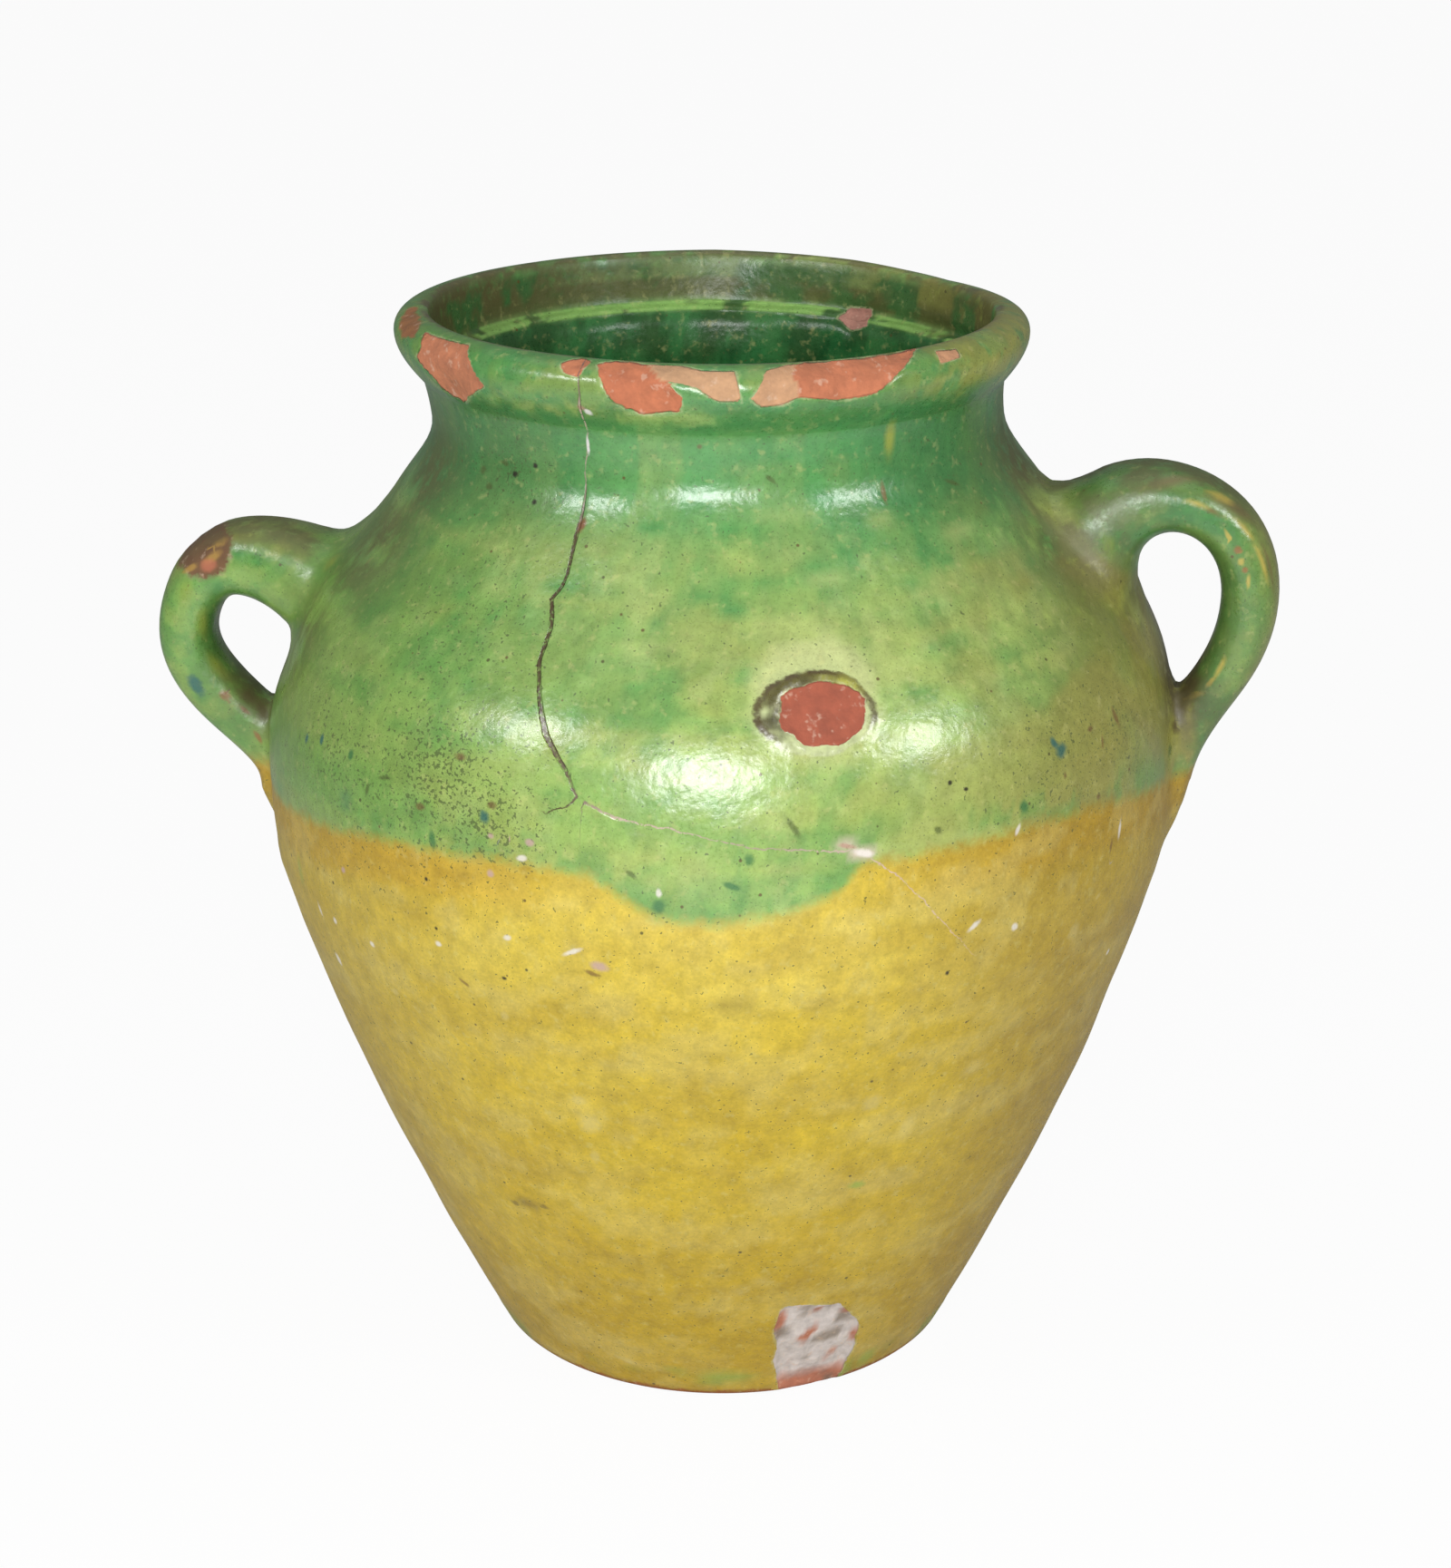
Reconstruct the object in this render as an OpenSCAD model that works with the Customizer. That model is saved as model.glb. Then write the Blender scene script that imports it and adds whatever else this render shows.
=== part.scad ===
// Two-handled earthenware confit pot.
// A wheel-thrown body with a narrow foot, a high round belly, a short neck and a
// thick rolled lip that has a seat for a cover inside it. Two pulled strap handles
// are luted to the shoulder by hand, so they differ in height and in size.
// Origin: centre of the flat foot. +Z up, -Y is the front, +X is the right.

/* [Body] */
// Radius of the flat foot that the pot stands on
foot_radius = 60.2; // [50:0.2:70]
// Width and height of the worn bevel round the foot
foot_bevel = 0.6; // [0.4:0.1:3]
// Height of the low station of the wall
low_height = 45; // [35:1:60]
// How far the low station stands out from the foot
low_spread = 21.2; // [14:0.2:28]
// Height of the middle station of the wall
mid_height = 95; // [80:1:110]
// How far the middle station stays inside the belly
mid_inset = 13.9; // [8:0.1:20]
// Height of the widest part of the belly
belly_height = 150; // [135:1:165]
// Radius of the belly at its widest
belly_radius = 115.4; // [105:0.2:125]
// How far the shoulder turns in from the belly
shoulder_inset = 7.8; // [4:0.1:14]
// Drop from the narrowest neck to the turn of the shoulder
shoulder_drop = 50; // [40:1:56]
// How far the wall spreads where the neck runs into the shoulder
neck_spread = 10.6; // [6:0.1:16]
// Drop from the narrowest neck to that spread
neck_drop = 19; // [14:0.5:26]
// Rise from the belly to the narrowest neck
neck_rise = 93; // [84:1:104]
// Outer radius of the narrowest neck
neck_radius = 71; // [62:0.2:78]
// Thickness of the thrown wall
wall = 7.6; // [5:0.1:9]
// Thickness of the floor
floor_thickness = 11; // [7:0.5:16]
// Radius of the curve where the floor turns up into the wall
floor_round = 16; // [8:1:24]

/* [Lip] */
// Rise from the narrowest neck to the underside of the lip
lip_rise = 10.4; // [6:0.2:16]
// How far the neck has opened again under the lip
lip_flare = 1.1; // [0.4:0.1:3]
// Height of the rolled lip, underside to crest
lip_height = 16.6; // [13:0.2:22]
// How far the lip stands out from the narrowest neck
lip_overhang = 7.3; // [5:0.1:11]
// Drop from the crest to the widest line of the lip
lip_edge_drop = 5.2; // [4:0.1:7]
// Thickness of the lip, widest line to crest
lip_thickness = 7.8; // [6:0.1:10]
// Drop from the crest to the seat inside the lip
seat_drop = 14.2; // [11:0.2:18]
// Width of the seat
seat_width = 3.2; // [1.5:0.1:4.5]
// How far the seat's edge stands back from the inside of the neck
seat_setback = 1.4; // [0.5:0.1:2.5]

/* [Handle strap] */
// Half width of the strap where it leaves the shoulder
strap_root_width = 15; // [11:0.5:18]
// Half width of the strap over its top
strap_top_width = 11.5; // [8:0.5:14]
// Half width of the strap at the grip
strap_grip_width = 10.2; // [7:0.2:13]
// Half width of the strap on its way down
strap_low_width = 9.3; // [7:0.1:12]
// Half width of the strap where it is pressed on to the belly
strap_tail_width = 8.2; // [6:0.2:11]
// Squareness of the strap's section, 2 is an oval
strap_squareness = 2.3; // [2:0.1:3]
// Length of the tail that is smeared down the belly
smear_length = 23; // [18:1:34]
// Half width of the smear where it runs out
smear_tip_width = 3; // [2:0.5:5]
// Half thickness of the smear where it runs out
smear_tip_thickness = 1; // [0.8:0.1:2]
// Depth that the strap's ends are worked into the wall
luting_depth = 3.5; // [2:0.5:5]
// Length of strap that runs on into the wall behind the root
root_lead = 6; // [4:0.5:8]
// Extra clay worked in on top of each root
root_fillet = 3; // [0:0.2:4]

/* [Right handle] */
// Turn of the handle towards the front, in degrees
right_turn = 10; // [-10:1:25]
// Drop from the narrowest neck to the root
right_root_drop = 34; // [26:0.5:38]
// Angle at which the root leaves the wall, above level
right_root_angle = 75; // [60:1:80]
// Pull of the root along that angle
right_root_pull = 28.3; // [24:0.1:36]
// How far the middle of the grip stands out from the belly
right_overhang = 16; // [12:0.1:24]
// Drop from the narrowest neck to the grip
right_grip_drop = 44.8; // [38:0.2:52]
// Inward lean of the strap at the grip, in degrees
right_grip_lean = 6; // [-5:0.1:20]
// Pull of the strap above the grip
right_upper_pull = 30.2; // [24:0.2:34]
// Pull of the strap below the grip
right_lower_pull = 18.2; // [12:0.2:26]
// Height of the tail's joint above the widest belly
right_tail_lift = 4.6; // [-4:0.2:12]
// Angle at which the strap comes down on to the belly, from level
right_tail_angle = 79.5; // [65:0.5:95]
// Pull of the strap above the tail
right_tail_pull = 20.2; // [14:0.2:28]
// Half thickness of the root
right_root_thickness = 12; // [10:0.2:15]
// Half thickness over the top
right_top_thickness = 7.5; // [6:0.1:10]
// Half thickness at the grip
right_grip_thickness = 7; // [5:0.1:9]
// Half thickness on the way down
right_low_thickness = 6.2; // [5:0.1:8]
// Half thickness of the tail
right_tail_thickness = 6; // [4:0.1:8]

/* [Left handle] */
// Turn of the handle towards the front, in degrees
left_turn = -3; // [-15:1:15]
// Drop from the narrowest neck to the root
left_root_drop = 47; // [38:0.1:52]
// Angle at which the root leaves the wall, above level
left_root_angle = 40; // [25:0.2:55]
// Pull of the root along that angle
left_root_pull = 10; // [8:0.2:24]
// How far the middle of the grip stands out from the belly
left_overhang = 20.6; // [15:0.1:26]
// Drop from the narrowest neck to the grip
left_grip_drop = 52.7; // [46:0.1:60]
// Inward lean of the strap at the grip, in degrees
left_grip_lean = -17.2; // [-25:0.2:10]
// Pull of the strap above the grip
left_upper_pull = 22.2; // [14:0.2:26]
// Pull of the strap below the grip
left_lower_pull = 22.2; // [14:0.1:28]
// Height of the tail's joint above the widest belly
left_tail_lift = -6.6; // [-14:0.2:4]
// Angle at which the strap comes down on to the belly, from level
left_tail_angle = 87.2; // [70:0.2:100]
// Pull of the strap above the tail
left_tail_pull = 17.8; // [14:0.2:28]
// Half thickness of the root
left_root_thickness = 11.6; // [10:0.1:15]
// Half thickness over the top
left_top_thickness = 9.8; // [8:0.1:11]
// Half thickness at the grip
left_grip_thickness = 7.3; // [5:0.1:9]
// Half thickness on the way down
left_low_thickness = 7.4; // [5:0.1:9]
// Half thickness of the tail
left_tail_thickness = 5.9; // [4:0.1:8]

/* [Damage] */
// Depth of the flakes that are missing from the lip
chip_depth = 1.2; // [0.5:0.1:2]
// Left front flake: turn from the front, in degrees
chip_a_turn = -57; // [-75:1:-45]
// Left front flake: width along the lip, in degrees
chip_a_span = 17; // [8:1:20]
// Flake left of the middle: turn from the front, in degrees
chip_b_turn = -13; // [-25:1:-10]
// Flake left of the middle: width along the lip, in degrees
chip_b_span = 13; // [8:1:18]
// Long flake right of the middle: turn from the front, in degrees
chip_c_turn = 19; // [15:1:30]
// Long flake right of the middle: width along the lip, in degrees
chip_c_span = 27; // [16:1:30]
// Kiln scar on the shoulder: turn from the front, in degrees
scar_turn = 12; // [-20:1:30]
// Kiln scar: drop from the narrowest neck to its middle
scar_drop = 44.5; // [30:0.5:60]
// Kiln scar: width
scar_width = 20; // [12:1:24]
// Kiln scar: depth
scar_depth = 0.8; // [0.7:0.1:1.5]
// Spall above the foot: turn from the front, in degrees
spall_turn = 21; // [-30:1:40]
// Spall: height of its middle
spall_height = 15; // [12:1:24]
// Spall: width
spall_width = 19; // [12:1:22]
// Spall: depth
spall_depth = 1.6; // [1:0.1:2.4]
// Low end of the spall, where it breaks the foot: turn from the front, in degrees
spall_end_turn = 27; // [-30:1:45]
// Width of the low end
spall_end_width = 12; // [8:1:16]
// Nick in the edge of the seat: turn from the front, in degrees
nick_turn = 149; // [120:1:240]
// Nick: width
nick_width = 9; // [5:0.5:12]

/* [Hidden] */
$fn = 96;

// heights that follow from the named ones
neck_height = belly_height + neck_rise;
under_lip = neck_height + lip_rise;
crest_height = under_lip + lip_height;

// radii that follow from the named sizes
lip_radius = neck_radius + lip_overhang;
crest_radius = lip_radius - lip_thickness;
neck_bore = neck_radius - wall;
seat_radius = neck_bore + seat_setback;
seat_back = seat_radius + seat_width;
foot_edge = foot_radius + foot_bevel;

// steps along the curves
wall_steps = 6;
lip_steps = 6;
strap_steps = 15;
smear_steps = 7;
strap_sides = 20;

// most that one struck flake runs along the lip
flake_pitch = 13;

// stations of the outer wall: height, radius, and slope where the wall stands upright
stations = [
    [foot_bevel, foot_edge],
    [low_height, foot_edge + low_spread],
    [mid_height, belly_radius - mid_inset],
    [belly_height, belly_radius, 0],
    [neck_height - shoulder_drop, belly_radius - shoulder_inset],
    [neck_height - neck_drop, neck_radius + neck_spread],
    [neck_height, neck_radius, 0],
    [under_lip, neck_radius + lip_flare]
];
last = len(stations) - 1;

function rise(i) = stations[i + 1][0] - stations[i][0];
function chord(i) = (stations[i + 1][1] - stations[i][1]) / rise(i);
function mean_slope(i) =
    (chord(i - 1) * rise(i) + chord(i) * rise(i - 1)) / (rise(i - 1) + rise(i));
function slope(i) =
    len(stations[i]) == 3 ? stations[i][2] :
    i == 0 ? 2 * chord(0) - mean_slope(1) :
    i == last ? 2 * chord(last - 1) :
    mean_slope(i);

// the span of the wall that a height falls in
function span(z, i = 0) = (i >= last - 1 || z < stations[i + 1][0]) ? i : span(z, i + 1);

// radius of the outer wall at a height, and its slope there
function wall_radius(z) =
    let (i = span(z), h = rise(i), t = (z - stations[i][0]) / h)
    (2 * t * t * t - 3 * t * t + 1) * stations[i][1]
    + (t * t * t - 2 * t * t + t) * h * slope(i)
    + (3 * t * t - 2 * t * t * t) * stations[i + 1][1]
    + (t * t * t - t * t) * h * slope(i + 1);
function wall_slope(z) = (wall_radius(z + 0.01) - wall_radius(z - 0.01)) / 0.02;

// a point of the wall, moved out along its normal
function wall_point(z, out = 0) =
    let (s = wall_slope(z), n = sqrt(1 + s * s))
    [wall_radius(z) + out / n, z - out * s / n];

function wall_heights(from, to, steps) =
    [for (k = [0 : steps]) from + (to - from) * k / steps];

// a point on a curve with two pulls
function bend(p, t) =
    pow(1 - t, 3) * p[0] + 3 * pow(1 - t, 2) * t * p[1]
    + 3 * (1 - t) * t * t * p[2] + t * t * t * p[3];
function bend_points(p, steps, first = 0) = [for (k = [first : steps]) bend(p, k / steps)];

function level(angle) = [cos(angle), sin(angle)];

// the lip's outer face: underside to widest line, then widest line to crest
under_face = [
    [neck_radius + lip_flare, under_lip],
    [neck_radius + lip_flare + lip_overhang * 0.27, under_lip + lip_height * 0.145],
    [lip_radius, crest_height - lip_edge_drop - lip_height * 0.265],
    [lip_radius, crest_height - lip_edge_drop]
];
upper_face = [
    [lip_radius, crest_height - lip_edge_drop],
    [lip_radius, crest_height - lip_edge_drop * 0.35],
    [crest_radius + lip_thickness * 0.58, crest_height],
    [crest_radius + lip_thickness * 0.1, crest_height]
];

// the lip's inner face: crest down to the back of the seat, then over the seat's edge
seat_height = crest_height - seat_drop;
seat_rise = seat_width * 0.55;
inner_face = [
    [crest_radius, crest_height],
    [crest_radius - lip_thickness * 0.2, crest_height - seat_drop * 0.085],
    [seat_back + seat_width * 0.22, seat_height + seat_drop * 0.42],
    [seat_back, seat_height + seat_rise]
];
seat_face = [
    [seat_back, seat_height + seat_rise],
    [seat_back - seat_width * 0.06, seat_height],
    [seat_radius, seat_height + seat_rise * 0.7],
    [seat_radius, seat_height - seat_rise * 0.9]
];

// outer shape of the pot without its handles
module thrown_form() {
    rotate_extrude()
    polygon(concat(
        [[0, 0], [foot_radius, 0]],
        [for (i = [0 : last - 1], k = [0 : wall_steps - 1])
            let (z = stations[i][0] + rise(i) * k / wall_steps)
            [wall_radius(z), z]],
        bend_points(under_face, lip_steps),
        bend_points(upper_face, lip_steps, 1),
        [[0, crest_height]]
    ));
}

// hollow of the pot, with the seat inside the lip
module hollow() {
    start = floor_thickness + floor_round;
    corner = wall_point(start, -wall);
    rotate_extrude()
    polygon(concat(
        [[0, floor_thickness]],
        bend_points([
            [corner[0] - floor_round, floor_thickness],
            [corner[0] - floor_round * 0.5, floor_thickness],
            corner - floor_round * 0.55 * [wall_slope(start), 1],
            corner
        ], 5),
        [for (z = wall_heights(start, belly_height, 10)) if (z > start) wall_point(z, -wall)],
        [for (z = wall_heights(belly_height, neck_height, 16)) if (z > belly_height)
            wall_point(z, -wall)],
        [for (k = [lip_steps : -1 : 0]) bend(seat_face, k / lip_steps)],
        [for (k = [lip_steps - 1 : -1 : 0]) bend(inner_face, k / lip_steps)],
        [[crest_radius + 1.2, crest_height + 1], [0, crest_height + 1]]
    ));
}

// value that runs smoothly through five stations along the strap
function through(v, u) =
    let (i = min(3, floor(u * 4)), t = u * 4 - i,
         before = (v[i + 1] - v[max(0, i - 1)]) / 2,
         after = (v[min(4, i + 2)] - v[i]) / 2)
    (2 * t * t * t - 3 * t * t + 1) * v[i] + (t * t * t - 2 * t * t + t) * before
    + (3 * t * t - 2 * t * t * t) * v[i + 1] + (t * t * t - t * t) * after;

// power that keeps its sign, for the rounded section
function soft(v) = sign(v) * pow(abs(v), 2 / strap_squareness);

function travel(path, i) =
    let (a = path[max(0, i - 1)], b = path[min(len(path) - 1, i + 1)]) (b - a) / norm(b - a);

// skin of a strap: one ring of points round each point of its path
module strap(path, thick, wide, fillet) {
    rings = len(path);
    points = [for (i = [0 : rings - 1], k = [0 : strap_sides - 1])
        let (t = travel(path, i), a = 360 * k / strap_sides,
             upper = cos(a) > 0 ? fillet[i] : 0,
             across = soft(cos(a)) * (thick[i] + upper), along = soft(sin(a)) * wide[i])
        [path[i][0] - t[1] * across, along, path[i][1] + t[0] * across]];
    skin = [for (i = [0 : rings - 2], k = [0 : strap_sides - 1])
        let (n = (k + 1) % strap_sides, a = i * strap_sides, b = a + strap_sides)
        each [[a + k, a + n, b + n], [a + k, b + n, b + k]]];
    root = [for (k = [1 : strap_sides - 2]) [0, k + 1, k]];
    last_ring = (rings - 1) * strap_sides;
    tip = [for (k = [1 : strap_sides - 2]) [last_ring, last_ring + k, last_ring + k + 1]];
    polyhedron(points, concat(skin, root, tip), convexity = 4);
}

widths = [strap_root_width, strap_top_width, strap_grip_width, strap_low_width, strap_tail_width];

// one pulled handle: root on the shoulder, grip beside the belly, tail smeared down
module handle(turn, root_drop, root_angle, root_pull, overhang, grip_drop, grip_lean,
              upper_pull, lower_pull, tail_lift, tail_angle, tail_pull, thickness) {
    root_z = neck_height - root_drop;
    root = [wall_radius(root_z) - luting_depth, root_z];
    grip = [belly_radius + overhang, neck_height - grip_drop];
    fall = level(-90 - grip_lean);
    tail_z = belly_height + tail_lift;
    tail = [wall_radius(tail_z) - luting_depth / 2, tail_z];
    over = bend_points([root, root + level(root_angle) * root_pull,
                        grip - fall * upper_pull, grip], strap_steps);
    down = bend_points([grip, grip + fall * lower_pull,
                        tail + level(tail_angle) * tail_pull, tail], strap_steps, 1);
    smear = [for (k = [1 : smear_steps])
        let (z = tail_z - smear_length * k / smear_steps)
        [wall_radius(z) - luting_depth / 2, z]];
    turns = 2 * strap_steps;
    fade = [for (k = [1 : smear_steps]) pow(1 - k / smear_steps, 1.2)];
    rotate([0, 0, turn])
    strap(
        concat([root - level(root_angle) * root_lead], over, down, smear),
        concat([thickness[0] * 0.96],
               [for (k = [0 : turns]) through(thickness, k / turns)],
               [for (f = fade) smear_tip_thickness + (thickness[4] - smear_tip_thickness) * f]),
        concat([widths[0]],
               [for (k = [0 : turns]) through(widths, k / turns)],
               [for (f = fade) smear_tip_width + (widths[4] - smear_tip_width) * f]),
        concat([root_fillet],
               [for (k = [0 : turns]) root_fillet * pow(max(0, 1 - k / turns / 0.3), 2)],
               [for (f = fade) 0])
    );
}

module handles() {
    handle(-right_turn, right_root_drop, right_root_angle, right_root_pull, right_overhang,
           right_grip_drop, right_grip_lean, right_upper_pull, right_lower_pull,
           right_tail_lift, right_tail_angle, right_tail_pull,
           [right_root_thickness, right_top_thickness, right_grip_thickness,
            right_low_thickness, right_tail_thickness]);
    handle(180 + left_turn, left_root_drop, left_root_angle, left_root_pull, left_overhang,
           left_grip_drop, left_grip_lean, left_upper_pull, left_lower_pull,
           left_tail_lift, left_tail_angle, left_tail_pull,
           [left_root_thickness, left_top_thickness, left_grip_thickness,
            left_low_thickness, left_tail_thickness]);
}

// shallow dish taken out of a round surface, as a struck flake leaves it
module dish(turn, at, lean, round, width, depth) {
    ball = 1 / max(0.004, 8 * depth / (width * width) - 1 / round);
    rotate([0, 0, turn - 90])
    translate([at[0], 0, at[1]])
    rotate([0, -lean, 0])
    translate([ball - depth, 0, 0])
    sphere(ball);
}

// run of dishes side by side along the lip
module flake(turn, angle, place) {
    run = angle * PI / 180 * lip_radius;
    count = ceil(run / flake_pitch);
    face = place < 0.5 ? under_face : upper_face;
    t = place < 0.5 ? place * 2 : place * 2 - 1;
    at = bend(face, t);
    way = bend(face, t + 0.01) - at;
    for (k = [0 : count - 1])
        dish(turn + angle * ((k + 0.5) / count - 0.5), at, atan2(-way[0], way[1]),
             lip_radius, 1.25 * run / count, chip_depth);
}

module damage() {
    flake(chip_a_turn, chip_a_span, 0.42);
    flake(chip_b_turn, chip_b_span, 0.55);
    flake(chip_c_turn, chip_c_span, 0.53);
    scar_z = neck_height - scar_drop;
    dish(scar_turn, wall_point(scar_z), atan(-wall_slope(scar_z)),
         wall_radius(scar_z), scar_width, scar_depth);
    dish(spall_turn, wall_point(spall_height), atan(-wall_slope(spall_height)),
         wall_radius(spall_height), spall_width, spall_depth);
    end_z = spall_end_width * 0.4;
    dish(spall_end_turn, wall_point(end_z), atan(-wall_slope(end_z)),
         wall_radius(end_z), spall_end_width, spall_depth * 0.75);
    rotate([0, 0, nick_turn - 90])
    translate([seat_radius, 0, seat_height + seat_rise])
    sphere(nick_width / 2);
}

module pot() {
    color("yellowgreen")
    difference() {
        union() {
            thrown_form();
            handles();
        }
        hollow();
        damage();
    }
}

pot();
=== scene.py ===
import math
import bmesh
import bpy
import numpy as np
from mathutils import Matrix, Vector, noise
from mathutils.bvhtree import BVHTree
from mathutils.kdtree import KDTree


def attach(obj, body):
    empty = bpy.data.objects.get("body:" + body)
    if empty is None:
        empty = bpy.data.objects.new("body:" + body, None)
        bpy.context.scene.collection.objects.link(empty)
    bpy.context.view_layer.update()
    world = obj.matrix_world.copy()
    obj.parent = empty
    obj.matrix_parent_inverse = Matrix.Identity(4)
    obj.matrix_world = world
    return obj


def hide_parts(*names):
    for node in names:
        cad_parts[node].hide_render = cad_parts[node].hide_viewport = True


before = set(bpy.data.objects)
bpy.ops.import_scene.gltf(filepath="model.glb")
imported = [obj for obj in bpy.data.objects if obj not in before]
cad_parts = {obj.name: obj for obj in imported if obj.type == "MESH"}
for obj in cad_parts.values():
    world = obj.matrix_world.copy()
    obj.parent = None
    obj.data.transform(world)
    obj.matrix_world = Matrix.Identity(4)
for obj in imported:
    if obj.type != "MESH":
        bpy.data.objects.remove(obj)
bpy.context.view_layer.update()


# THE THROWN BODY
# Red earthenware thrown on a wheel: a narrow foot, a high round belly, a short neck and a
# thick rolled lip with a seat inside it for a cover. Sizes are in millimetres.
foot_radius = 60.2
foot_edge = 60.8
foot_bevel = 0.6
wall_thickness = 7.6
floor_height = 11.0
floor_round = 16.0
belly_height = 150.0
belly_radius = 115.4
neck_height = 243.0
neck_radius = 71.0
under_lip = 253.4
under_lip_radius = 72.1
crest_height = 270.0
crest_radius = 70.5
lip_radius = 78.3
lip_edge_height = 264.8
seat_height = 255.8
seat_radius = 64.8
seat_back = 68.0

# stations of the outer wall; the wall stands upright at the belly and at the neck
station_height = np.array([foot_bevel, 45.0, 95.0, belly_height, 193.0, 224.0, neck_height,
                           under_lip])
station_radius = np.array([foot_edge, 82.0, 101.5, belly_radius, 107.6, 81.6, neck_radius,
                           under_lip_radius])
station_rise = np.diff(station_height)
station_chord = np.diff(station_radius) / station_rise
station_slope = np.zeros(len(station_height))
for i in range(1, len(station_height) - 1):
    below, above = station_rise[i - 1], station_rise[i]
    station_slope[i] = (station_chord[i - 1] * above + station_chord[i] * below) / (below + above)
station_slope[0] = 2 * station_chord[0] - station_slope[1]
station_slope[3] = 0
station_slope[6] = 0
station_slope[7] = 2 * station_chord[6]


def wall_radius(height):
    """Outer radius of the wall at a height."""
    height = np.asarray(height, float)
    i = np.clip(np.searchsorted(station_height, height, side="right") - 1, 0, 6)
    rise = station_rise[i]
    t = (height - station_height[i]) / rise
    return ((2 * t**3 - 3 * t**2 + 1) * station_radius[i]
            + (t**3 - 2 * t**2 + t) * rise * station_slope[i]
            + (3 * t**2 - 2 * t**3) * station_radius[i + 1]
            + (t**3 - t**2) * rise * station_slope[i + 1])


def wall_slope(height):
    return (wall_radius(height + 0.05) - wall_radius(height - 0.05)) / 0.1


def bend(pulls, steps):
    """Points along a curve with two pulls, without its first point."""
    a, b, c, d = (np.array(p, float) for p in pulls)
    t = np.linspace(0, 1, steps + 1)[1:, None]
    return (1 - t)**3 * a + 3 * (1 - t)**2 * t * b + 3 * (1 - t) * t**2 * c + t**3 * d


def smooth_step(low, high, value):
    t = np.clip((value - low) / (high - low), 0, 1)
    return t * t * (3 - 2 * t)


# the half section, from the middle of the foot out, up the wall, over the lip and down inside
underside = [[r, 0.0] for r in (3, 12, 24, 36, 46, 54, 58.5, foot_radius)]
outer_heights = np.concatenate([
    np.linspace(foot_bevel, 34, 16, endpoint=False),
    np.linspace(34, 148, 36, endpoint=False),
    np.linspace(148, 188, 16, endpoint=False),
    np.linspace(188, 212, 16, endpoint=False),
    np.linspace(212, under_lip, 17)])
outer_wall = np.column_stack([wall_radius(outer_heights), outer_heights])
lip_under = bend([[under_lip_radius, under_lip], [74.07, 255.8], [lip_radius, 260.4],
                  [lip_radius, lip_edge_height]], 12)
lip_over = bend([[lip_radius, lip_edge_height], [lip_radius, 268.2], [75.02, crest_height],
                 [71.28, crest_height]], 12)
lip_inner = bend([[crest_radius, crest_height], [68.94, 268.8], [68.7, 261.8],
                  [seat_back, 257.6]], 11)
seat = bend([[seat_back, 257.6], [67.8, seat_height], [seat_radius, 257.0],
             [seat_radius, 254.2]], 9)
inner_heights = np.concatenate([
    np.linspace(252.5, 205, 17, endpoint=False),
    np.linspace(205, floor_height + floor_round, 19)])
inner_slope = wall_slope(inner_heights)
inner_length = np.sqrt(1 + inner_slope**2)
inner_wall = np.column_stack([
    wall_radius(inner_heights) - wall_thickness / inner_length,
    inner_heights + wall_thickness * inner_slope / inner_length])
corner = inner_wall[-1]
into_floor = np.array([wall_slope(floor_height + floor_round), 1])
floor_curve = bend([corner, corner - 0.55 * floor_round * into_floor,
                    [corner[0] - floor_round / 2, floor_height],
                    [corner[0] - floor_round, floor_height]], 6)
inner_floor = [[r, floor_height] for r in (38, 26, 14, 4)]
section = np.vstack([underside, outer_wall, lip_under, lip_over, lip_inner, seat, inner_wall,
                     floor_curve, inner_floor])

# more columns on the side that carries the chips and the scar than on the plain side
front_side = 95
front_columns = np.linspace(-front_side, front_side, 290, endpoint=False)
back_columns = np.linspace(front_side, 360 - front_side, 150, endpoint=False)
columns = np.radians(np.concatenate([front_columns, back_columns]))


def faces_between(rings, count):
    """Faces between rings of points, ring by ring."""
    return [(i * count + j, i * count + (j + 1) % count,
             (i + 1) * count + (j + 1) % count, (i + 1) * count + j)
            for i in range(rings - 1) for j in range(count)]


def revolve(half_section, turns):
    """Closed skin from a half section that is turned round the axis, turn 0 at the front."""
    rows, count = len(half_section), len(turns)
    radius, height = half_section[:, 0, None], half_section[:, 1, None]
    points = np.stack([radius * np.sin(turns), -radius * np.cos(turns),
                       np.repeat(height, count, 1)], axis=2).reshape(-1, 3)
    faces = faces_between(rows, count)
    first, last = len(points), len(points) + 1
    points = np.vstack([points, [0, 0, half_section[0, 1]], [0, 0, half_section[-1, 1]]])
    top = (rows - 1) * count
    for j in range(count):
        n = (j + 1) % count
        faces.append((first, n, j))
        faces.append((last, top + j, top + n))
    return points, faces


body_points, body_faces = revolve(section, columns)


# THE PULLED HANDLES
# Two straps of the same clay, pulled by hand, luted to the shoulder while the pot was leather
# hard and smeared down on to the belly. No two pulls are alike, so each has its own sizes.
luting_depth = 3.5
root_lead = 6.0
root_fillet = 3.0
smear_length = 23.0
smear_tip_width = 3.0
smear_tip_thickness = 1.0
strap_widths = [15, 11.5, 10.2, 9.3, 8.2]
strap_squareness = 2.5
strap_sides = 44
strap_steps = 34
smear_steps = 14


def through(values, along):
    """A value that runs smoothly through five stations, along from 0 to 1."""
    values = np.array(values, float)
    i = np.minimum(3, np.floor(along * 4).astype(int))
    t = along * 4 - i
    before = (values[i + 1] - values[np.maximum(0, i - 1)]) / 2
    after = (values[np.minimum(4, i + 2)] - values[i]) / 2
    return ((2 * t**3 - 3 * t**2 + 1) * values[i] + (t**3 - 2 * t**2 + t) * before
            + (3 * t**2 - 2 * t**3) * values[i + 1] + (t**3 - t**2) * after)


def level(angle):
    return np.array([math.cos(math.radians(angle)), math.sin(math.radians(angle))])


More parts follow.
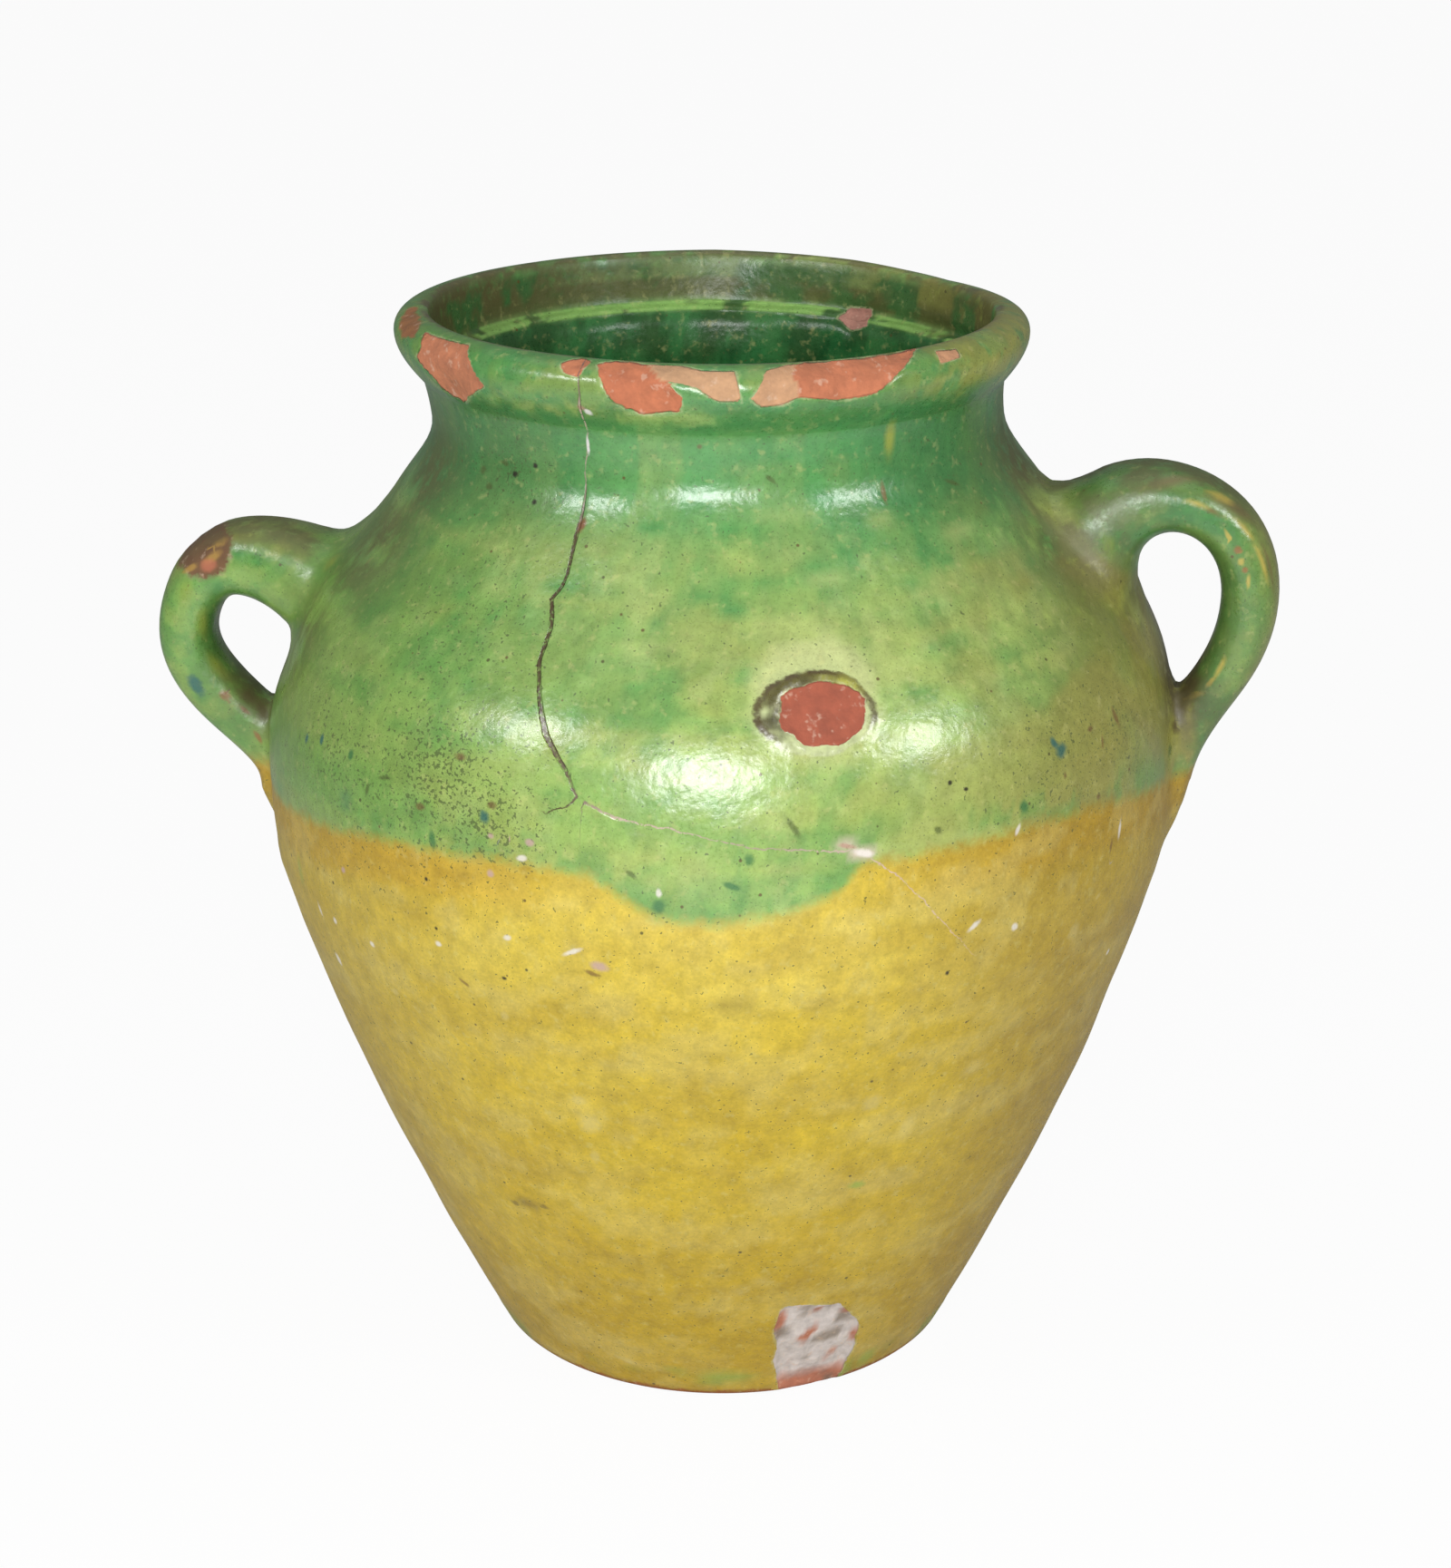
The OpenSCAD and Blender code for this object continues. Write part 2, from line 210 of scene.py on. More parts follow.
def pulled_strap(turn, root_drop, root_angle, root_pull, overhang, grip_drop, grip_lean,
                 upper_pull, lower_pull, tail_lift, tail_angle, tail_pull, thicknesses):
    """Skin of one handle, still without the fillets that join it to the wall."""
    root_height = neck_height - root_drop
    root = np.array([float(wall_radius(root_height)) - luting_depth, root_height])
    grip = np.array([belly_radius + overhang, neck_height - grip_drop])
    fall = level(-90 - grip_lean)
    tail_height = belly_height + tail_lift
    tail = np.array([float(wall_radius(tail_height)) - luting_depth / 2, tail_height])
    smear_heights = tail_height - smear_length * np.arange(1, smear_steps + 1) / smear_steps
    path = np.vstack([
        root - level(root_angle) * root_lead,
        root,
        bend([root, root + level(root_angle) * root_pull, grip - fall * upper_pull, grip],
             strap_steps),
        bend([grip, grip + fall * lower_pull, tail + level(tail_angle) * tail_pull, tail],
             strap_steps),
        np.column_stack([wall_radius(smear_heights) - luting_depth / 2, smear_heights])])
    along = np.arange(2 * strap_steps + 1) / (2 * strap_steps)
    fade = (1 - np.arange(1, smear_steps + 1) / smear_steps) ** 1.2
    thick = np.concatenate([[thicknesses[0] * 0.96], through(thicknesses, along),
                            smear_tip_thickness + (thicknesses[4] - smear_tip_thickness) * fade])
    wide = np.concatenate([[strap_widths[0]], through(strap_widths, along),
                           smear_tip_width + (strap_widths[4] - smear_tip_width) * fade])
    fillet = np.concatenate([[root_fillet],
                             root_fillet * np.maximum(0, 1 - along / 0.3) ** 2, fade * 0])
    travel = np.gradient(path, axis=0)
    travel /= np.linalg.norm(travel, axis=1)[:, None]
    side = 2 * math.pi * np.arange(strap_sides) / strap_sides
    power = 2 / strap_squareness
    upper = np.sign(np.cos(side)) * np.abs(np.cos(side)) ** power
    across = upper * (thick[:, None] + np.where(upper > 0, fillet[:, None], 0))
    out = path[:, 0, None] - travel[:, 1, None] * across
    up = path[:, 1, None] + travel[:, 0, None] * across
    sideways = np.sign(np.sin(side)) * np.abs(np.sin(side)) ** power * wide[:, None]
    c, s = math.cos(math.radians(turn)), math.sin(math.radians(turn))
    points = np.stack([out * c - sideways * s, out * s + sideways * c, up], axis=2)
    rings = len(path)
    faces = [(a, d, c, b) for a, b, c, d in faces_between(rings, strap_sides)]
    faces.append(tuple(range(strap_sides)))
    faces.append(tuple(rings * strap_sides - 1 - j for j in range(strap_sides)))
    return points.reshape(-1, 3), faces


right_tail_lift, left_tail_lift = 4.6, -6.6
right_handle = pulled_strap(
    turn=-10, root_drop=34, root_angle=75, root_pull=28.3, overhang=15.85, grip_drop=44.8,
    grip_lean=6, upper_pull=30.2, lower_pull=18.2, tail_lift=right_tail_lift, tail_angle=79.5,
    tail_pull=20.2, thicknesses=[12, 7.5, 7, 6.2, 6])
left_handle = pulled_strap(
    turn=177, root_drop=47, root_angle=40, root_pull=10, overhang=20.42, grip_drop=52.7,
    grip_lean=-17.2, upper_pull=22.2, lower_pull=22.2, tail_lift=left_tail_lift, tail_angle=87.2,
    tail_pull=17.8, thicknesses=[11.6, 9.8, 7.3, 7.4, 5.9])


def wall_distance(points):
    """How far points stand out from the outer wall, and the wall's outward direction there."""
    radius = np.maximum(np.hypot(points[:, 0], points[:, 1]), 0.001)
    slope = wall_slope(points[:, 2])
    length = np.sqrt(1 + slope**2)
    outward = np.column_stack([points[:, 0] / radius, points[:, 1] / radius, -slope])
    return (radius - wall_radius(points[:, 2])) / length, outward / length[:, None]


def fillet_lift(gap, closing, reach):
    """How far a skin is lifted to meet another, gap away, in a soft fillet."""
    lift = np.zeros_like(gap)
    for _ in range(24):
        lift = np.clip(reach - gap + (1 - closing) * lift, 0, None) ** 2 / (4 * reach)
        lift = np.minimum(lift, reach / 4)
    return lift


def skin_directions(points, faces):
    mesh = bpy.data.meshes.new("draft")
    mesh.from_pydata([tuple(p) for p in points], [], faces)
    directions = np.empty(len(points) * 3)
    mesh.vertex_normals.foreach_get("vector", directions)
    bpy.data.meshes.remove(mesh)
    return directions.reshape(-1, 3)


def fillet_reach(height, tail_height, root_reach, tail_reach):
    """Wide fillets round the root, narrow ones round the tail, none at the end of the smear."""
    rooted = smooth_step(tail_height + 18, tail_height + 42, height)
    smeared = smooth_step(tail_height - smear_length, tail_height - 4, height)
    return 0.4 + rooted * (root_reach - 0.4) + (1 - rooted) * smeared * tail_reach


def lute(handle, tail_height, root_reach, tail_reach):
    """Flare a strap on to the wall, and draw the wall up to the strap."""
    points, faces = handle
    tree = BVHTree.FromPolygons([Vector(p) for p in points], faces)
    gap, outward = wall_distance(points)
    reach = fillet_reach(points[:, 2], tail_height, root_reach, tail_reach)
    skin = skin_directions(points, faces)
    lift = fillet_lift(np.maximum(gap, 0), np.sum(skin * outward, axis=1), reach) * 0.85
    near = np.where((gap < reach) & (gap > -2), 1.0, 0.0)
    points += skin * (lift * near)[:, None]
    gap, outward = wall_distance(points)
    points += outward * np.maximum(0, -4.4 - gap)[:, None]
    turn = math.atan2(points[:, 1].mean(), points[:, 0].mean())
    reach = fillet_reach(body_points[:, 2], tail_height, root_reach, tail_reach)
    gap, outward = wall_distance(body_points)
    bearing = body_points[:, 0] * math.cos(turn) + body_points[:, 1] * math.sin(turn)
    close = np.abs(-body_points[:, 0] * math.sin(turn) + body_points[:, 1] * math.cos(turn)) < 34
    for i in np.nonzero((bearing > 60) & close & (np.abs(gap) < 0.1))[0]:
        if not tail_height - 30 < body_points[i, 2] < 240:
            continue
        p = Vector(body_points[i])
        spot, direction, _, far = tree.find_nearest(p, 16.0)
        if spot is None:
            continue
        away = p - spot
        inside = away.dot(direction) < 0
        toward = direction if inside or far < 1e-4 else away.normalized()
        closing = float(np.dot(outward[i], toward))
        gap_here = np.array([0.0 if inside else far])
        lifted = fillet_lift(gap_here, closing, reach[i])[0] * 0.85
        body_points[i] += outward[i] * lifted
    return points, faces


right_handle = lute(right_handle, belly_height + right_tail_lift, root_reach=12.0, tail_reach=4.5)
left_handle = lute(left_handle, belly_height + left_tail_lift, root_reach=8.0, tail_reach=4.5)


def new_object(name, points, faces):
    mesh = bpy.data.meshes.new(name)
    mesh.from_pydata([tuple(p) for p in points], [], faces)
    mesh.update()
    made = bpy.data.objects.new(name, mesh)
    bpy.context.scene.collection.objects.link(made)
    return made


pot = new_object("confit_pot", body_points, body_faces)
straps = [new_object("strap", *right_handle), new_object("strap", *left_handle)]
for strap in straps:
    union = pot.modifiers.new("lute", "BOOLEAN")
    union.operation = "UNION"
    union.solver = "EXACT"
    union.object = strap
graph = bpy.context.evaluated_depsgraph_get()
joined = bpy.data.meshes.new_from_object(pot.evaluated_get(graph))
pot.modifiers.clear()
pot.data = joined
for strap in straps:
    bpy.data.objects.remove(strap)



def tree_of(points):
    """Search tree over points."""
    tree = KDTree(len(points))
    for i, point in enumerate(points):
        tree.insert(point, i)
    tree.balance()
    return tree


# the seams are wiped over with a wet finger
before = tree_of(np.vstack([body_points, right_handle[0], left_handle[0]]))
wiped = bmesh.new()
wiped.from_mesh(joined)
wiped.verts.ensure_lookup_table()
fresh = [v for v in wiped.verts if before.find(v.co)[2] > 0.001]
bmesh.ops.remove_doubles(wiped, verts=fresh, dist=0.3)
fresh = {v for v in fresh if v.is_valid}
for _ in range(3):
    fresh |= {e.other_vert(v) for v in list(fresh) for e in v.link_edges}
for _ in range(8):
    bmesh.ops.smooth_vert(wiped, verts=list(fresh), factor=0.5, use_axis_x=True,
                          use_axis_y=True, use_axis_z=True)
wiped.to_mesh(joined)
wiped.free()


# OUT OF TRUE
# The wet pot sagged as it dried and was fired: the neck leans to the left, the rim dips at the
# back, and the wall has soft rings and shallow dents. The box that it fills stays the same.
skin = np.empty(len(joined.vertices) * 3)
joined.vertices.foreach_get("co", skin)
skin = skin.reshape(-1, 3)
turns = np.degrees(np.arctan2(skin[:, 0], -skin[:, 1]))
heights = skin[:, 2].copy()
radii = np.hypot(skin[:, 0], skin[:, 1])
proud, outward = wall_distance(np.column_stack([skin[:, :2], np.minimum(heights, under_lip)]))
on_handle = smooth_step(1.5, 9.0, proud) * (heights < 238)
on_wall = 1 - on_handle

# length along the half section, counted from the widest line of the lip
section_length = np.cumsum(np.linalg.norm(np.diff(section, axis=0), axis=1))
section_length = np.concatenate([[0], section_length])
edge_row = len(underside) + len(outer_wall) + len(lip_under) - 1
section_run = section_length - section_length[edge_row]
crest_run = section_run[edge_row + len(lip_over)]
seat_edge_run = section_run[edge_row + len(lip_over) + len(lip_inner) + 6]
steps = np.arange(section_run[0], section_run[-1], 0.35)
finder = tree_of(np.column_stack([np.interp(steps, section_run, section[:, 0]),
                                  np.interp(steps, section_run, section[:, 1]), 0 * steps]))
runs = np.array([steps[finder.find((r, h, 0))[1]] for r, h in zip(radii, heights)])
outside = runs < crest_run + 1

lean = -1.9
lean_low, lean_high = 231, 263
# turn from the front in degrees, and how far the crest lies under its highest point
crest_dips = [(-180, -0.35), (-140, -0.5), (-105, -0.3), (-60, 0), (-25, 0), (20, -0.4),
              (60, -0.6), (95, -1.4), (125, -2.6), (138, -2.1), (150, -1.3), (180, -0.35)]
# turn, height, half width in degrees, half height, and how far the wall stands out there
dents = [(-90, 186, 30, 15, -2.6), (94, 199, 26, 12, 1.0), (93, 118, 45, 22, -0.6),
         (93, 80, 45, 30, 0.4), (-92, 143, 7, 5, 0.8), (-84, 110, 40, 34, 0.6),
         (140, 90, 50, 40, -0.8), (200, 170, 45, 35, -0.9), (-84, 133, 9, 4, 0.7),
         (-84, 124, 9, 4, -0.6), (10, 133, 60, 3, 0.35), (10, 126, 60, 4, -0.3)]


def away_from(turn):
    return (turns - turn + 180) % 360 - 180


push = np.zeros(len(skin))
for turn, height, half_width, half_height, out in dents:
    reach = (away_from(turn) / half_width) ** 2 + ((heights - height) / half_height) ** 2
    push += out * np.exp(-1.2 * reach)
push -= 1.2 * smooth_step(222, 256, heights) * np.maximum(0, np.sin(np.radians(turns))) ** 2


def lumps(size, seed):
    """Soft lumps of a size in millimetres, from -1 to 1, the same each time."""
    shift = Vector((seed * 17.3, seed * 5.1, seed * 9.7))
    return np.array([noise.noise(Vector(p) / size + shift) for p in skin])


rings = np.sin(heights / 5.2 + turns / 57.3 + 2.2 * lumps(60, 1))
rings_here = smooth_step(6, 40, heights) * (1 - smooth_step(228, 246, heights))
uneven_wall = 0.35 * np.abs(lumps(34, 2)) + 0.12 * lumps(9, 3) ** 2
push -= rings_here * (0.10 * (1 + rings) + uneven_wall)
push *= np.where(runs < crest_run + 12, on_wall, 0)
skin += outward * push[:, None]
skin[:, 0] += lean * smooth_step(lean_low, lean_high, heights) * on_wall
dip_turns, dips = zip(*crest_dips)
skin[:, 2] += np.interp(turns, dip_turns, dips) * smooth_step(240, 266, heights)


# WEAR AND DAMAGE
# Chips knocked out of the lip down to the red clay, a scar on the shoulder where a prop stuck in
# the kiln, a spall at the foot, and a crack that runs from the lip down and round the belly.
# Places on the wall are a turn from the front in degrees and a height, or on the lip a run.
# a degree in millimetres, by where it is
lip_degree = 1.33
shoulder_degree = 1.85
foot_degree = 1.15
seat_degree = 1.15
# distances are told up to this far, and inside this radius lies the mouth
far_off = 20
mouth_radius = 72
# each chip in the lip: depth, how pale its clay is, and its corners as turn and run
lip_chips = [
    (1.3, 0.15, [(-64, 5.5), (-56, 6), (-49, 6.5), (-44.5, 0), (-42.5, -3.5), (-46, -6),
                 (-53, -11.5), (-58, -9.5), (-59, -5), (-63.5, -1.5), (-61.5, 1.5)]),
    (0.7, 0.1, [(-27, 5.5), (-24, 9.5), (-21.5, 7), (-23, 2), (-25.5, 3)]),
    (1.5, 0.0, [(-20.5, 6.5), (-17, 9.5), (-11.5, 8), (-8, 2.5), (-5, -1), (-5.5, -4.5),
                (-12, -6), (-17, -3), (-18.5, 1.5)]),
    (0.7, 1.0, [(-11.5, 8), (-6, 8), (-2, 6), (3.5, 6), (4.5, -2), (1, -2), (-2.5, 1), (-9, 3)]),
    (1.4, 0.05, [(12.5, 6), (17, 9.5), (28, 8.5), (41, 10), (37, 6), (31, 0.5), (28, -2),
                 (21, -3), (13.5, -1)]),
    (0.7, 0.9, [(9, 6), (14.5, 8.5), (14.5, -1), (11.5, -3), (8, -3.5), (6, -1.5), (7.5, 1)]),
    (0.6, 0.7, [(43, 6.5), (48, 5.5), (47.5, 3), (42, 2.5)])]
worn_lip = [(-77, 2.5), (-87, 6.5), (-85, 9), (-69.5, 7.5), (-65, 3), (-72, 0.5)]
# the scar, its collar and the pale halo round it: turn, height, half width and half height
prop_scar = (12.6, 198.2, 11.0, 7.6)
scar_rim = (11.6, 198.4, 14.0, 10.0)
scar_halo = (12.0, 201.6, 15.5, 14.5)
foot_spall = [(11, 33), (16, 32.5), (23, 31), (29, 22), (30.5, 11), (29, -6), (15, -6), (11, 13),
              (11.5, 18), (10, 25)]
# the crack: turn, height, half width in millimetres, and how pale it is
crack = [(-23.5, 270, 0.15, 0.2), (-22.5, 264, 0.2, 0.2), (-23, 260, 0.5, 0.9),
         (-23.5, 254, 0.16, 0.8), (-25.5, 243, 0.14, 0.6), (-25.5, 230, 0.55, 0.0),
         (-25, 221, 0.32, 0.0), (-26.5, 217, 0.4, 0.0), (-25, 213, 0.45, 0.0),
         (-25, 206, 0.36, 0.0), (-23.5, 200, 0.34, 0.0), (-21.5, 193, 0.55, 0.0),
         (-18, 185, 0.28, 0.1), (-16.5, 180, 0.2, 0.2), (-12, 176.5, 0.26, 1.0),
         (-6, 175, 0.12, 0.9), (4, 170.5, 0.12, 0.6), (15.5, 168.5, 0.16, 1.0),
         (20, 162, 0.1, 1.0), (30.5, 138, 0.03, 1.0)]
crack_branch = [(-16.5, 180, 0.2, 0.0), (-18, 178, 0.16, 0.0), (-20.5, 176, 0.03, 0.0)]
# where the green glaze was dipped to: turn and height, round the whole pot
dip_line = [(-180, 157), (-150, 159), (-120, 157), (-95, 150.5), (-78, 153), (-58, 157),
            (-41, 162), (-25, 164), (-15, 163), (-11, 158.5), (-7.5, 154), (0, 153), (7.5, 155),
            (13, 159.5), (16, 166), (33, 167), (48, 166.5), (74, 158), (95, 156), (130, 154),
            (155, 160), (180, 157)]
dip_step = 0.14


def run_of(height):
    """Run along the outer wall and lip at a height."""
    rows = slice(len(underside), edge_row + len(lip_over) + 1)
    return np.interp(height, section[rows, 1], section_run[rows]) + min(height, 0)


def inside_by(outline, degree, on_lip=False):
    """How far in millimetres each point lies inside an outline; outside it is below 0."""
    corners = [(turn * degree, run if on_lip else run_of(run)) for turn, run in outline]
    across, along = turns * degree, runs
    nearest = np.full(len(skin), 1e9)
    inside = np.zeros(len(skin), bool)
    for (ax, ay), (bx, by) in zip(corners, corners[1:] + corners[:1]):
        dx, dy = bx - ax, by - ay
        t = np.clip(((across - ax) * dx + (along - ay) * dy) / (dx * dx + dy * dy), 0, 1)
        nearest = np.minimum(nearest, np.hypot(across - ax - t * dx, along - ay - t * dy))
        if dy:
            inside ^= ((ay > along) != (by > along)) & (across < ax + (along - ay) * dx / dy)
    return np.clip(np.where(inside, nearest, -nearest), -far_off, far_off)


def inside_oval(oval, degree):
    """The same for an oval on the wall."""
    turn, height, half_width, half_height = oval
    across = (turns - turn) * degree / half_width
    along = (runs - run_of(height)) / half_height
    inside = (1 - np.hypot(across, along)) * math.sqrt(half_width * half_height)
    return np.clip(np.where(heights > 120, inside, -far_off), -far_off, far_off)


def beside(path, degree):
    """Distance from a crack, signed by its side, with the crack's half width and paleness."""
    stations = [(turn * degree, run_of(height), width, pale) for turn, height, width, pale in path]
    across, along = turns * degree, runs
    nearest = np.full(len(skin), float(far_off))
    half_width = np.zeros(len(skin))
    paleness = np.zeros(len(skin))
    for a, b in zip(stations, stations[1:]):
        dx, dy = b[0] - a[0], b[1] - a[1]
        t = np.clip(((across - a[0]) * dx + (along - a[1]) * dy) / (dx * dx + dy * dy), 0, 1)
        x, y = across - a[0] - t * dx, along - a[1] - t * dy
        far = np.hypot(x, y)
        closer = far < np.abs(nearest)
        nearest = np.where(closer, far * np.sign(dx * y - dy * x), nearest)
        half_width = np.where(closer, a[2] + (b[2] - a[2]) * t, half_width)
        paleness = np.where(closer, a[3] + (b[3] - a[3]) * t, paleness)
        ends = closer & (((t == 0) & (a is stations[0])) | ((t == 1) & (b is stations[-1])))
        half_width = np.where(ends, 0, half_width)
    return nearest, half_width, paleness


on_pot = (proud < 2.5) | (heights > 236)
chip = np.full(len(skin), -float(far_off))
chip_pale = np.zeros(len(skin))
relief = np.zeros(len(skin))
rough_lumps = lumps(2.6, 5)
broad_lumps = lumps(7.5, 6)
for depth, pale, outline in lip_chips:
    inside = inside_by(outline, lip_degree, True)
    ragged = inside + 0.35 * rough_lumps
    chip_pale = np.where(inside > chip, pale, chip_pale)
    chip = np.maximum(chip, inside)
    hollow = 0.45 * smooth_step(-0.1, 0.7, ragged) + 0.55 * smooth_step(0.3, 4.0, ragged)
    relief = np.minimum(relief, -depth * hollow * (1 + 0.35 * broad_lumps))
worn = inside_by(worn_lip, lip_degree, True)
relief -= 0.35 * smooth_step(-1, 2, worn) * (1 + 0.8 * rough_lumps)
scar = inside_oval(prop_scar, shoulder_degree) + 1.6 * lumps(4.5, 8)
rim = inside_oval(scar_rim, shoulder_degree) + 0.8 * lumps(7, 9)
halo = inside_oval(scar_halo, shoulder_degree)
collar = smooth_step(-0.6, 0.8, rim + 0.3 * rough_lumps) * (1 - smooth_step(-0.9, 0.1, scar))
relief += 0.6 * collar * (1 + 0.4 * rough_lumps)
relief -= 0.75 * smooth_step(-0.3, 0.7, scar) - 0.08 * rough_lumps * (scar > 0)
spall = inside_by(foot_spall, foot_degree)
broken = smooth_step(-0.4, 1.6, spall + 0.5 * rough_lumps)
relief -= broken * (1.1 + 0.5 * broad_lumps + 0.7 * rough_lumps)
spall_edge = smooth_step(-1.4, -0.2, spall) * (1 - smooth_step(-0.2, 0.6, spall))
relief += 0.35 * spall_edge * (heights > 12)
in_foot = heights < 1.5
relief = np.where(in_foot, np.minimum(relief, 0), relief)
above_dip = heights - np.interp(turns, *zip(*dip_line))
relief -= dip_step * (1 - smooth_step(-1.5, 1.5, above_dip + 2 * rough_lumps)) * (heights > 5)
crack_side, crack_width, crack_pale = beside(crack, shoulder_degree)
side, width, pale = beside(crack_branch, shoulder_degree)
closer = np.abs(side) < np.abs(crack_side)
crack_side = np.where(closer, side, crack_side)
crack_width = np.where(closer, width, crack_width)
crack_pale = np.where(closer, pale, crack_pale)
# one side of the crack has sunk a little
relief -= 0.24 * (crack_side < 0) * np.exp(-np.abs(crack_side) / 4) * (crack_width > 0.05)
relief = np.where(on_pot & outside, relief, 0)
rubbed_place = np.array([-130.5, 1, 207.5])
rubbed_away = np.linalg.norm((skin - rubbed_place) / np.array([9, 14, 8]), axis=1)
relief -= 0.5 * (1 - smooth_step(0.6, 1.1, rubbed_away)) * (1 + 0.8 * rough_lumps)

# the edge of the seat is uneven, with a chip knocked out of it at the back
in_mouth = radii < mouth_radius
on_seat = np.exp(-((runs - seat_edge_run) / 3.0) ** 2) * (heights > 248) * in_mouth
seat_chip = inside_by([(143, seat_edge_run - 4), (149, seat_edge_run - 3.5),
                       (150.5, seat_edge_run + 1), (147, seat_edge_run + 4),
                       (142.5, seat_edge_run + 2)], seat_degree, True)
relief += on_seat * (0.25 * rough_lumps + 0.5 * broad_lumps)
relief -= 1.0 * smooth_step(-0.5, 1.5, seat_chip) * (1 + 0.9 * rough_lumps) * in_mouth


def shape_mesh():
    """Put the points of the mesh where the skin is, in metres, and tell which way they face."""
    joined.vertices.foreach_set("co", (skin * 0.001).ravel())
    joined.update()
    directions = np.empty(len(skin) * 3)
    joined.vertex_normals.foreach_get("vector", directions)
    return directions.reshape(-1, 3)


slopes = shape_mesh()
slopes[heights < 1.0, 2] = np.maximum(slopes[heights < 1.0, 2], 0)
skin += slopes * relief[:, None]
skin[:, 2] = np.maximum(skin[:, 2], 0)
skin[in_foot & (heights < 0.3), 2] = heights[in_foot & (heights < 0.3)]


